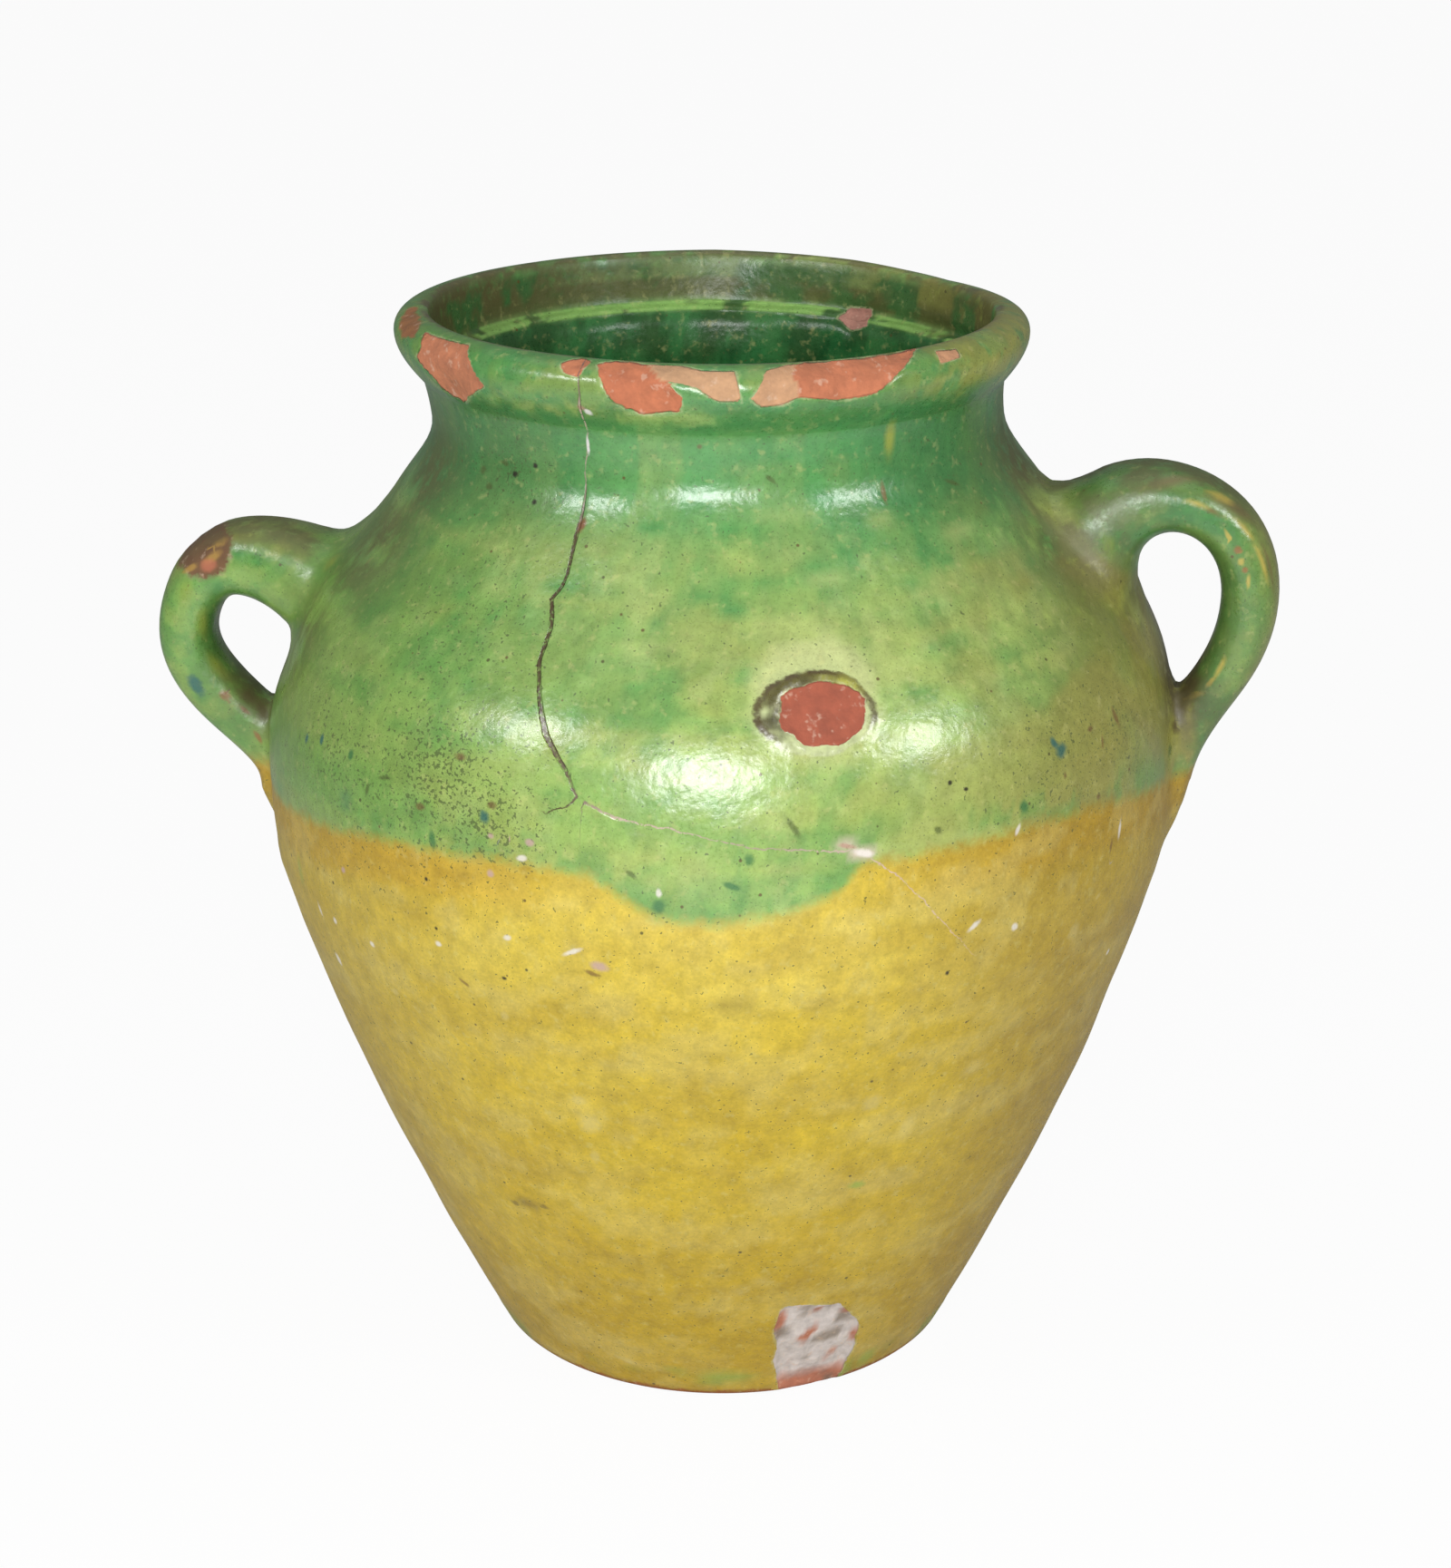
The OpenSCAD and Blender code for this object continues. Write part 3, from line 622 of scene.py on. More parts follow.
# SMALL MARKS
# Long use and a rough kiln left scuffs, scratches, drips of dark glaze, pinholes, worn patches
# and stains. A broad one is a soft stain; a small one keeps a crisp edge on the glaze.
# on the wall: colour, strength and softness, then turn, height, half width and half height, and
# the tilt of one that is tilted
wall_marks = {
    "copper drop": ("22605c", 0.85, 0.4, [
        (44, 182, 2.1, 2.1), (43, 184, 1.0, 1.7, -25), (-61, 176, 0.9, 1.5, 5),
        (-57, 178, 0.9, 1.5, 5), (-28, 173, 1.4, 1.8)]),
    "green drip": ("2f6f3c", 0.8, 0.6, [
        (-7, 157, 1.7, 1.9), (-35, 165, 1.2, 2.3, -15), (37, 172, 1.5, 1.7), (-50, 178, 1.1, 1.5),
        (3, 168, 1.4, 2.0), (1, 162, 2.4, 0.9, 20)]),
    "pinhole": ("241f12", 0.95, 0.3, [
        (-37, 243, 0.8, 0.8), (-36, 235, 0.8, 0.8), (-42, 240, 1.0, 0.8), (27, 181, 0.6, 0.6),
        (29, 179, 0.8, 0.6), (-35, 143, 0.6, 0.6), (-36, 155, 0.6, 0.6), (-26, 134, 0.8, 0.6),
        (27, 135, 0.6, 0.8), (49, 184, 0.7, 0.6)]),
    "iron spot": ("6a4a2c", 0.7, 0.4, [
        (50, 184, 1.1, 0.8), (50, 168, 1.1, 0.9), (44, 176, 0.8, 1.0), (-4, 251, 0.7, 0.7),
        (-27, 176, 1.6, 1.0, 10), (-37, 172, 1.5, 1.0), (-32, 185, 1.6, 1.0)]),
    "brown patch on the crack": ("7d472b", 0.92, 0.3, [(-25, 232, 1.1, 2.2)]),
    "chip on the crack": ("a98470", 0.9, 0.3, [(-24, 260, 1.2, 0.8, 15)]),
    "lime on the crack": ("e2dcd8", 0.95, 0.3, [(-23, 259, 1.1, 0.8, 45), (-25, 250, 0.5, 2.4)]),
    "olive fleck": ("4c5a28", 0.7, 0.4, [
        (-51, 239, 1.1, 1.1, 30), (-45, 242, 1.5, 0.6, 10), (-48, 236, 1.3, 0.9),
        (48, 237, 2.6, 0.6, 25), (9, 243, 1.6, 0.6, 40), (-10, 164, 1.8, 0.7, 35),
        (25, 171, 1.2, 0.8, 40), (8, 175, 0.8, 2.8, -32), (-43, 176, 2.3, 0.6, -10),
        (-46, 172, 0.6, 1.9, 10), (-44, 171, 1.5, 0.5, 35)]),
    "brown scratch": ("7a5a2c", 0.75, 0.5, [
        (56, 184, 0.9, 3.0, -15), (52, 180, 0.6, 1.9, 10), (-32, 130, 1.7, 0.6, 35),
        (53, 154, 0.6, 1.5, 12), (-15, 139, 2.0, 0.6, 20), (31, 238, 0.7, 2.9)]),
    "yellow run": ("aeaa3a", 0.65, 0.8, [(33, 250, 1.9, 5.4)]),
    "brush mark": ("c3c97c", 0.45, 0.9, [
        (12, 236, 12.4, 1.4, -3), (31, 232, 8.4, 1.3, 12), (16, 222, 8.2, 2.1, -4),
        (45, 227, 9.5, 2.1, 6)]),
    "green brush mark": ("68a455", 0.4, 0.9, [(31, 220, 9.6, 2.9, 8), (1, 223, 5.3, 2.4)]),
    "blotch": ("4f7f55", 0.55, 0.9, [(-50, 167, 3.8, 3.8)]),
    "pink scuff": ("c0a096", 0.85, 0.4, [
        (-14, 141, 2.3, 1.3, 15), (-27, 160, 1.0, 1.0), (-22, 169, 1.2, 1.0), (-27, 169, 1.0, 0.8),
        (-51, 149, 0.9, 0.9)]),
    "white scuff": ("e6dfd2", 0.85, 0.4, [
        (-17, 144, 2.9, 0.7, -25), (-25, 145, 1.2, 0.8, -10), (-35, 139, 1.1, 0.8),
        (-59, 133, 0.7, 2.0, -20), (-55, 133, 0.9, 0.9), (-58, 120, 1.1, 1.8, -15),
        (-47, 132, 0.9, 0.9), (55, 157, 0.7, 2.6, 12), (36, 167, 0.6, 1.5, 25),
        (30, 146, 2.3, 0.8, -35), (36, 143, 1.1, 1.1), (59, 121, 0.9, 0.9),
        (-23, 165, 1.4, 0.8, -15), (-7, 160, 0.8, 1.2)]),
    "rubbed glaze": ("d6c98a", 0.32, 0.8, [
        (-18, 94, 3.0, 3.4), (-18, 84, 1.3, 2.6, 10), (-19, 101, 2.1, 1.7), (47, 135, 2.2, 2.6),
        (51, 142, 1.3, 0.9, -30), (-27, 123, 1.1, 1.5), (-45, 120, 1.3, 0.9), (26, 90, 2.8, 3.5),
        (20, 100, 2.6, 3.0, 20), (35, 104, 3.9, 2.6), (5, 42, 6.8, 1.8, -25),
        (-49, 24, 3.8, 0.9, 28), (-22, 10, 3.3, 1.2, 15)]),
    "groove left by the rib": ("94802e", 0.55, 0.6, [(-8, 133, 8.2, 0.5, 3), (1, 132, 6.1, 0.5)]),
    "ridge beside it": ("d8c670", 0.5, 0.7, [(-10, 131, 9.5, 0.6, -3)]),
    "rough patch": ("6d5a2a", 0.6, 0.8, [
        (-32, 62, 4.9, 2.2, 5), (-35, 61, 1.4, 0.9), (-29, 63, 1.8, 0.9, 10)]),
    "splash of green": ("8fac46", 0.7, 0.8, [
        (20, 74, 2.4, 1.5), (-64, 140, 1.6, 3.6, -10), (1, 7, 9.4, 3.2, 3), (36, 5, 3.8, 4.2),
        (-10, 8, 5.2, 1.6, 5)]),
    "flaked glaze": ("d9c4b0", 0.9, 0.4, [(15, 169, 5.4, 1.6, 14)]),
    "lime in the flake": ("efe6dc", 0.9, 0.4, [(16, 168, 2.8, 1.0, 14)]),
    "clay in the flake": ("b98a7a", 0.7, 0.4, [(14, 170, 2.4, 0.6, 14)])}

# on the handles: the same, with a place instead of a turn and a height
handle_marks = {
    "clay rubbed bare": ("b86a4c", 0.8, 0.3, [(-129, -4, 204, 2.4, 1.8, -20)]),
    "ochre edge of it": ("b08a3c", 0.75, 0.4, [
        (-128, -4, 206, 3.0, 1.2, -38), (-126, -2, 210, 2.3, 1.4, -30),
        (-134, -3, 203, 2.3, 0.9, -30)]),
    "copper drop": ("1f6563", 0.85, 0.6, [(-134, -2, 172, 1.9, 3.3, -28)]),
    "rust": ("9a5c30", 0.75, 0.4, [
        (-127, -2, 169, 1.6, 1.2, 30), (-125, -2, 167, 1.4, 1.2, 40), (-122, -2, 165, 2.1, 0.7, 45),
        (-119, -3, 158, 1.9, 0.7, 60), (124, -33, 216, 1.1, 1.1), (126, -33, 211, 0.9, 0.9)]),
    "yellow glaze": ("9aa03c", 0.55, 0.9, [
        (-132, -1, 188, 2.1, 5.6, -10), (-129, 0, 176, 2.1, 6.1, -25),
        (-135, -3, 197, 2.8, 4.2, 10), (-121, -2, 211, 6.9, 1.8, -5), (93, -31, 217, 2.2, 3.5, -20),
        (-97, -9, 206, 2.3, 3.7)]),
    "green glaze": ("3f8f46", 0.6, 0.9, [
        (-127, -3, 198, 2.1, 3.7, 20), (-121, -5, 206, 3.7, 2.8), (107, -31, 224, 8.0, 1.5, -12)]),
    "dirt in the crotch": ("4a3c22", 0.85, 0.8, [
        (-121, 0, 168, 2.8, 3.8, -30), (-118, 0, 164, 1.9, 3.3), (115, -26, 180, 4.1, 3.2),
        (113, -28, 174, 2.7, 4.1), (112, -29, 170, 1.8, 2.0), (114, -26, 177, 2.7, 2.3)]),
    "hand grease": ("77623f", 0.75, 0.9, [
        (108, -28, 232, 11.1, 2.4, -8), (124, -29, 225, 3.1, 7.6, -38),
        (132, -31, 212, 1.5, 8.9, -8)]),
    "worn edge": ("c4ae50", 0.8, 0.6, [
        (120, -29, 228, 4.0, 1.6, 40), (126, -32, 221, 1.1, 4.0, -32),
        (130, -32, 213, 0.9, 5.8, -12), (114, -31, 227, 3.5, 0.6, 15),
        (122, -32, 219, 2.7, 0.6, 58), (125, -33, 213, 0.9, 1.1), (127, -33, 208, 0.7, 2.2),
        (122, -31, 186, 0.7, 3.6, 28), (120, -30, 182, 0.7, 2.3, 35),
        (116, -29, 178, 3.2, 0.9, -30)]),
    "crack in the glaze": ("7a5a2a", 0.85, 0.4, [(119, -32, 224, 3.5, 0.5, 45)]),
    "dark pool": ("2c5a2a", 0.7, 0.8, [(107, -28, 219, 4.0, 1.1), (110, -33, 165, 1.8, 1.8)])}
# a mark that is broader than this is a stain; this much of the skin round a mark is told of it
broad_mark = 3.4
mark_margin = 4.2

slopes = shape_mesh()
spots = tree_of(skin)
stain = np.zeros((len(skin), 4))
layers = [{"centres": [], "at": np.full((len(skin), 2), 9.0), "paint": np.zeros((len(skin), 4))}
          for _ in range(3)]


def tint(code):
    """A colour from its six-figure code."""
    parts = [int(code[i:i + 2], 16) / 255 for i in (0, 2, 4)]
    return (*[p / 12.92 if p <= 0.04045 else ((p + 0.055) / 1.055) ** 2.4 for p in parts], 1)


def make_mark(place, wide, tall, tilt, code, share, soft):
    """Lay a mark on the skin at the spot that lies nearest to a place."""
    nearest = spots.find(place)[1]
    facing = slopes[nearest]
    centre = np.array(place) + facing * np.dot(skin[nearest] - np.array(place), facing)
    across = np.cross([0.0, 0.0, 1.0], facing)
    across /= np.linalg.norm(across)
    upward = np.cross(facing, across)
    c, s = math.cos(math.radians(tilt)), math.sin(math.radians(tilt))
    across, upward = across * c - upward * s, across * s + upward * c
    reach = max(wide, tall) * 1.3 + mark_margin
    found = spots.find_range(centre, reach + mark_margin)
    near = np.array([i for _, i, _ in found], int)
    close = np.array([away < reach for _, _, away in found])
    same_side = slopes[near] @ facing > 0.1
    near, close = near[same_side], close[same_side]
    offset = skin[near] - centre
    u, v = offset @ across / wide, offset @ upward / tall
    if max(wide, tall) > broad_mark:
        amount = share * (1 - smooth_step(1 - soft, 1.15, np.hypot(u, v)))[:, None]
        stain[near] = stain[near] * (1 - amount) + np.array(tint(code)) * amount
        return
    room = [min([np.linalg.norm(centre - other) - reach - size for other, size in layer["centres"]]
                or [99.0]) for layer in layers]
    layer = layers[room.index(max(room))]
    layer["centres"].append((centre, reach))
    free = close | (layer["paint"][near, 3] == 0)
    layer["at"][near[free]] = np.column_stack([u, v])[free]
    layer["paint"][near[close]] = (*tint(code)[:3], share)


outer_rows = slice(len(underside), edge_row + 1)
for code, share, soft, places in wall_marks.values():
    for turn, height, wide, tall, *tilt in places:
        radius = np.interp(height, section[outer_rows, 1], section[outer_rows, 0])
        t = math.radians(turn)
        place = radius * math.sin(t), -radius * math.cos(t), height
        make_mark(place, wide, tall, sum(tilt), code, share, soft)
for code, share, soft, places in handle_marks.values():
    for x, y, z, wide, tall, *tilt in places:
        make_mark((x, y, z), wide, tall, sum(tilt), code, share, soft)


# THE GLAZE
# Lead glaze over the fired clay: green from copper where the pot was dipped, yellow below, red
# earthenware where it is chipped. What is broader than a few millimetres is laid on the points
# of the mesh, and the shader adds the fleck, the speckle and every crisp edge.
def plain(code):
    """One colour for every point."""
    return np.tile(tint(code)[:3], (len(skin), 1))


def shaded(value, stops):
    """Colours read off a scale of shades at each point."""
    at = [stop for stop, _ in stops]
    scale = np.array([tint(code)[:3] for _, code in stops])
    return np.column_stack([np.interp(value, at, scale[:, i]) for i in range(3)])


def mixed(under, coat, share):
    """Lay colours over others by a share at each point."""
    share = np.clip(share, 0, 1)[:, None]
    return under * (1 - share) + coat * share


def coats(under, layers_over):
    """Lay one colour after another over what is there, each by a share at each point."""
    for code, share in layers_over:
        under = mixed(under, np.array(tint(code)[:3]), share)
    return under


def clouds(size, seed, octaves, stretch=(1, 1, 1)):
    """Cloudy pattern round a half whose clouds are of a size in millimetres."""
    shift = Vector((seed * 17.3, seed * 5.1, seed * 9.7))
    scale = Vector(stretch) / size
    return np.array([0.5 + 0.5 * noise.fractal(Vector(p) * scale + shift, 0.6, 2.0, octaves)
                     for p in skin])


def between(value, low, high, soft):
    """1 from low to high, softly falling to 0 outside."""
    return smooth_step(low - soft, low, value) * (1 - smooth_step(high, high + soft, value))


def patches(places):
    """Round patches with soft edges: place, reach and strength."""
    made = np.zeros(len(skin))
    for x, y, z, reach, strength in places:
        away = np.linalg.norm(skin - np.array([x, y, z]), axis=1)
        made = np.maximum(made, strength * np.exp(-(away / reach) ** 2))
    return made


# to the right, along the section from the crest of the lip, and from the edge of the seat
side, run = skin[:, 0], runs - crest_run
seat_run = run - (seat_edge_run - crest_run)
broad, cloud, pale_cloud = clouds(30, 11, 3), clouds(13, 12, 4), clouds(8, 16, 3)
banded = clouds(30, 13, 3, (0.3, 0.3, 2.2))
runs_down = clouds(11, 14, 3, (1, 1, 0.16))
turned = clouds(34, 15, 4, (0.5, 0.5, 3.5))
dusty = clouds(16, 17, 4, (0.6, 0.6, 1.6))

# green, emerald at the neck and paler and yellower down the shoulder, banded by the wheel,
# deeper and cooler to the left, partly as painted shade, and browner to the right
green_level = heights + 44 * (cloud - 0.5) + 34 * (broad - 0.5)
green = shaded(smooth_step(150, 270, green_level), [
    (0.0, "9ab85f"), (0.22, "9cb861"), (0.45, "88a757"), (0.62, "77a054"), (0.74, "629a53"),
    (0.86, "53914c"), (1.0, "5a924b")])
green = coats(green, [
    ("4e8f45", 0.4 * smooth_step(0.5, 0.72, cloud)),
    ("9fa350", 0.4 * smooth_step(0.5, 0.68, broad)),
    ("b6c57e", 0.3 * smooth_step(0.54, 0.75, pale_cloud)),
    ("b3b866", 0.35 * smooth_step(0.5, 0.66, banded)),
    ("5f9a4e", 0.35 * smooth_step(0.5, 0.36, banded)),
    # painted shade: a darker, cooler green towards the left, where the belly turns from the light
    ("5f9138", 0.55 * smooth_step(-25, -95, side)),
    ("97964a", 0.6 * smooth_step(30, 80, side) * smooth_step(0.35, 0.55, broad)),
    ("94883f", 0.6 * smooth_step(55, 95, side) * (heights < 215))])
# the handles are darker, brownish with dust along the outer edge and painted lighter on what
# faces up as if lit from above, and darker as painted shade where they face the wall
outer_edge = smooth_step(118, 132, side) * smooth_step(-14, -6, skin[:, 1] + 22)
# dust along the outer edge, and a painted highlight on what faces up
dust_and_painted_light = np.maximum(outer_edge, smooth_step(0.1, 0.7, slopes[:, 2]) * 0.8)
strap_green = shaded(pale_cloud, [
    (0.36, "357f38"), (0.46, "4a9143"), (0.54, "69a04c"), (0.66, "8fab52")])
strap_green = coats(strap_green, [
    ("338040", 0.6 * (side > 0)),
    ("83ad58", 0.5 * (side < 0) * (heights < 205)),
    # brownish dust, with painted light on the top of the straps
    ("8f8d42", 0.75 * dust_and_painted_light),
    # painted shade on the faces of the straps that turn towards the wall
    ("2c642f", 0.65 * smooth_step(0.1, 0.8, -slopes[:, 0] * np.sign(side)))])
green = mixed(green, strap_green, 0.85 * smooth_step(0.3, 0.9, on_handle))
# emerald at the neck, in soft runs, darker at its sides as painted shade, and where it pooled
# under the lip and at the dip line
neck = smooth_step(222, 240, heights) * (1 - smooth_step(-21, -17, run))
under_lip_pool = between(run, -19, -14, 4)
edge_pool = between(above_dip, 0, 4, 6) * smooth_step(0.48, 0.6, cloud)
green = coats(green, [
    ("4a944f", neck * (0.55 + 0.3 * smooth_step(0.4, 0.62, runs_down))),
    # painted shade on the sides of the neck, under the lip
    ("2a6230", 0.55 * neck * smooth_step(18, 50, np.abs(side))),
    ("2f7a40", under_lip_pool * smooth_step(0.3, 0.56, cloud) * 0.75),
    ("3c8a48", 0.6 * between(run, -14, -2, 3) * smooth_step(0.46, 0.6, pale_cloud)),
    ("5d9a48", 0.5 * edge_pool),
    ("c9cf8d", 0.8 * smooth_step(-3, 3, halo + 3 * (cloud - 0.5)))])

# inside it is thick and dark, painted darker still below the seat as the shade inside the pot,
# with dirt and painted shade in the groove of the seat and a painted highlight along its edge
inside = shaded(cloud + 0.2 * (pale_cloud - 0.5), [
    (0.34, "335c30"), (0.46, "446b3a"), (0.54, "577c43"), (0.66, "769254")])
inside = coats(inside, [
    ("5a5f35", 0.6 * smooth_step(-30, -66, side) * smooth_step(0.3, 0.5, cloud)),
    ("62703c", 0.5 * smooth_step(25, 60, side) * smooth_step(0.45, 0.6, cloud)),
    # dirt and painted shade in the groove of the seat
    ("4b4526", 0.8 * between(seat_run, -8, -4.5, 2) * smooth_step(0.3, 0.5, cloud)),
    # painted highlight along the edge of the seat
    ("8fbf63", 0.9 * (between(seat_run, -2.0, 0.2, 1.3) * smooth_step(0.34, 0.46, pale_cloud)))])
# painted shade deep inside, below the seat
shaded_depths = shaded(cloud + 0.2 * (runs_down - 0.5), [
    (0.36, "0e4521"), (0.5, "17562b"), (0.64, "266b38")])
inside = mixed(inside, shaded_depths, smooth_step(0.2, 1.6, seat_run))
inner = smooth_step(1.0, 4.0, run + 2 * (cloud - 0.5)) * 0.9
green = mixed(green, inside, inner)
lip_yellow = between(run, -13, 6, 4) * smooth_step(25, 60, side) * smooth_step(0.4, 0.56, cloud)
green = coats(green, [
    ("5d5434", 0.8 * between(run, 0.2, 1.6, 1.4) * smooth_step(0.36, 0.5, pale_cloud)),
    ("9c9a48", 0.7 * lip_yellow)])

# yellow, thin and satin, streaked by the throwing, and painted darker towards both sides as
# the shade where the belly turns from the light
yellow = shaded(smooth_step(0, 175, heights + 60 * (broad - 0.5)), [
    (0.0, "ba9b1c"), (0.2, "c5a722"), (0.5, "cfb32d"), (0.75, "d3b838"), (0.9, "d7bf4a"),
    (1.0, "d1b63c")])
yellow = coats(yellow, [
    ("b3972f", 0.4 * smooth_step(0.5, 0.7, turned)),
    ("d9c25c", 0.25 * smooth_step(0.5, 0.72, cloud)),
    ("c6982a", 0.6 * between(above_dip, -8, 2, 6) * smooth_step(20, 80, np.abs(side))),
    # painted shade towards the right side and, more lightly, towards the left
    ("9a7c1c", 0.6 * smooth_step(25, 85, side)),
    ("a88c26", 0.4 * smooth_step(45, 95, -side)),
    ("a88d30", 0.18 * smooth_step(0.56, 0.68, pale_cloud)),
    ("d8c97c", 0.22 * smooth_step(0.56, 0.7, dusty)),
    ("7f9c3c", 0.6 * (1 - smooth_step(4, 9, heights)) * smooth_step(0.5, 0.6, broad))])

# dirt in the crotches of the handles and round the rim, dust and grease on what faces up
grime = patches([(-84, -26, 216, 24, 0.75), (-70, -26, 232, 17, 0.8), (-98, -26, 194, 17, 0.7),
                 (-113, 2, 172, 14, 1.2), (-120, 4, 186, 9, 0.8), (-100, -30, 176, 14, 0.35),
                 (84, -30, 219, 24, 0.75), (72, -18, 233, 16, 0.9), (112, -22, 176, 13, 1.2),
                 (118, -20, 184, 8, 0.9), (98, -26, 200, 15, 0.55), (100, -22, 228, 12, 0.8)])
rim_grime = [(-150, 0.7), (-120, 1.0), (-95, 0.9), (-60, 0.5), (-30, 0.35), (0, 0.35), (40, 0.45),
             (75, 0.5), (100, 0.9), (125, 0.55), (150, 0.35), (180, 0.3), (210, 0.7)]
rim_turns = np.where(turns < -150, turns + 360, turns)
on_rim = np.exp(-((run - 5) / 7.0) ** 2) * (heights > 245)
grime = np.maximum(grime, on_rim * np.interp(rim_turns, *zip(*rim_grime)))
facing_up = slopes[:, 2] * smooth_step(0, 0.5, on_handle)
grime = np.maximum(grime, 0.75 * smooth_step(0.25, 0.95, facing_up))
grime = np.clip(grime, 0, 1) * smooth_step(0.2, 0.52, cloud + 0.3 * (pale_cloud - 0.5))
# soot and iron specks crowd together at the left of the belly and below the neck
soot = patches([(-66, -92, 180, 20, 0.9), (-52, -100, 173, 14, 0.9), (-88, -66, 176, 20, 0.6),
                (-48, -54, 242, 12, 0.6), (-62, -74, 205, 26, 0.4), (80, -80, 178, 20, 0.4),
                (92, -62, 180, 14, 0.5)])

# what has only been rubbed: the lip at the left, the top of the left handle, edge of the foot
on_pot_only = np.where(on_pot, 0, -far_off)
rubbed_size = np.array([8.5, 13.0, 8.0])
rubbed = 6 * (1 - np.linalg.norm((skin - rubbed_place) / rubbed_size, axis=1))
foot_rub = np.where((spall < -1) & outside, 1.6 - heights, -far_off)
worn_through = np.maximum.reduce([worn + on_pot_only, rubbed, foot_rub])
worn_through = np.clip(worn_through, -far_off, 6)
# red clay, each break in its own shade: fresh at the lip, deep in the scar, limy at the foot
seat_break = np.where(in_mouth, seat_chip, -far_off)
bare = np.maximum(np.maximum.reduce([chip, scar, spall]) + on_pot_only, seat_break)
limy = smooth_step(-0.5, -0.25, lumps(7, 22) + 0.3 * lumps(3, 23)) * smooth_step(3, 7, heights)
bare_clay = coats(plain("c0704b"), [
    ("c79a72", chip_pale),
    ("a5543a", scar > -4),
    ("d9d0cb", (spall > -4) * (0.1 + 0.88 * limy)),
    ("8d7d6b", (spall > -4) * 0.75 * smooth_step(0.2, 0.5, lumps(5, 24))),
    ("b08070", seat_break > -4),
    ("9c5c33", worn_through > -3),
    ("72432b", rubbed > -3)])

# the collar round the scar: burnt at the upper left, pale and yellowish below and to the right
collar_turn, collar_height = 12.6, 198
around_across = (turns - collar_turn) * shoulder_degree
around_up = runs - run_of(collar_height)
up_left = smooth_step(-0.2, 0.8, (around_up * 0.75 - around_across * 0.66) / 10)
collar_paint = coats(plain("c3cc94"), [
    ("a8a846", smooth_step(0, 6, around_up)),
    ("4a4222", 0.9 * up_left * smooth_step(-0.3, 0.2, lumps(4, 25) + 0.15))])
burnt = 0.12 + up_left + 0.8 * smooth_step(6, 11, around_across) * (around_up > -5)

# what the points of the mesh carry for the shader: distances and strengths, then paints with
# their cover
numbers = {"above_dip": np.where(run > 3, far_off, above_dip), "bare": bare,
           "worn_through": worn_through, "inside": inner, "soot": soot, "crack": crack_side,
           "collar": np.where(on_pot & (scar < 6), rim, -far_off),
           "crack_width": crack_width * (1.2 - 0.35 * crack_pale)}
paints = {"green": (green, 1), "yellow": (yellow, 1), "bare_clay": (bare_clay, 1),
          "crack_colour": (coats(plain("46291b"), [("cdb3a4", crack_pale)]), 1),
          "collar_paint": (collar_paint, np.clip(burnt, 0, 1)),
          "dirt": (plain("574f2c"), grime), "stain": (stain[:, :3], stain[:, 3])}
for i, layer in enumerate(layers):
    made = joined.attributes.new(f"mark_at_{i}", "FLOAT2", "POINT")
    made.data.foreach_set("vector", layer["at"].ravel())
    paints[f"mark_paint_{i}"] = (layer["paint"][:, :3], layer["paint"][:, 3])
for label, values in numbers.items():
    made = joined.attributes.new(label, "FLOAT", "POINT")
    made.data.foreach_set("value", values.astype(np.float32))
for label, (paint, cover) in paints.items():
    made = joined.attributes.new(label, "FLOAT_COLOR", "POINT")
    rows = np.column_stack([paint, np.broadcast_to(cover, len(skin))])
    made.data.foreach_set("color", rows.astype(np.float32).ravel())

fired = bpy.data.materials.new("Glazed earthenware")
fired.use_nodes = True
recipe = fired.node_tree.nodes
threads = fired.node_tree.links
place = recipe.new("ShaderNodeTexCoord").outputs["Object"]


def node(kind, inputs, output=0, **settings):
    """A node's output; its inputs, by name or number, are numbers, colours or other outputs."""
    made = recipe.new("ShaderNode" + kind)
    for name, value in settings.items():
        setattr(made, name, value)
    for name, value in inputs.items():
        if isinstance(value, bpy.types.NodeSocket):
            threads.new(value, made.inputs[name])
        else:
            made.inputs[name].default_value = value
    return made.outputs[output]


def sum_of(kind, *values):
    return node("Math", dict(enumerate(values)), operation=kind)


def both(one, other):
    return sum_of("MULTIPLY", one, other)


def field(label, output="Fac"):
    """What is stored at the points of the mesh under a label."""
    made = recipe.get(label)
    if not made:
        made = recipe.new("ShaderNodeAttribute")
        made.name = made.attribute_name = label
    return made.outputs[output]


def mottle(size, detail, rough=0.6):
    """Soft cloudy pattern whose clouds are of a size in millimetres."""
    return node("TexNoise", {"Vector": place, "Scale": 1000 / size, "Detail": detail,
                             "Roughness": rough})


def rise(value, low, high, top=1.0):
    """From 0 at low to the top at high, softly."""
    return node("MapRange", {"Value": value, "From Min": low, "From Max": high, "To Max": top},
                interpolation_type="SMOOTHSTEP")


def lay(under, coat, share):
    """Lay one colour over another."""
    return node("Mix", {0: share, 6: under, 7: coat}, 2, data_type="RGBA")


def blend(under, coat, share):
    """The same for a plain number."""
    return node("Mix", {0: share, 2: under, 3: coat}, data_type="FLOAT")


def deepen(colour, strength):
    """Make a colour darker or lighter by a number."""
    return node("VectorMath", {0: colour, "Scale": strength}, operation="SCALE")


fleck, grain, pale_fleck = mottle(4.0, 3, 0.65), mottle(0.95, 2, 0.65), mottle(2.3, 2)
uneven = sum_of("SUBTRACT", sum_of("MULTIPLY_ADD", grain, 0.35, fleck), 0.675)


def ragged(label, amount):
    """Make the edge of a field uneven by a length in millimetres."""
    return sum_of("MULTIPLY_ADD", uneven, amount, field(label))


# the green fades out over a millimetre or two at the dip line; both glazes are flecked
dipped = rise(ragged("above_dip", 5.0), -2.6, 2.4)
colour = lay(field("yellow", "Color"), field("green", "Color"), dipped)
tone = sum_of("MULTIPLY_ADD", fleck, 0.68, sum_of("MULTIPLY_ADD", grain, 0.5, 0.4))
colour = deepen(colour, tone)
colour = lay(colour, tint("d5d088"), rise(pale_fleck, 0.55, 0.78, 0.25))
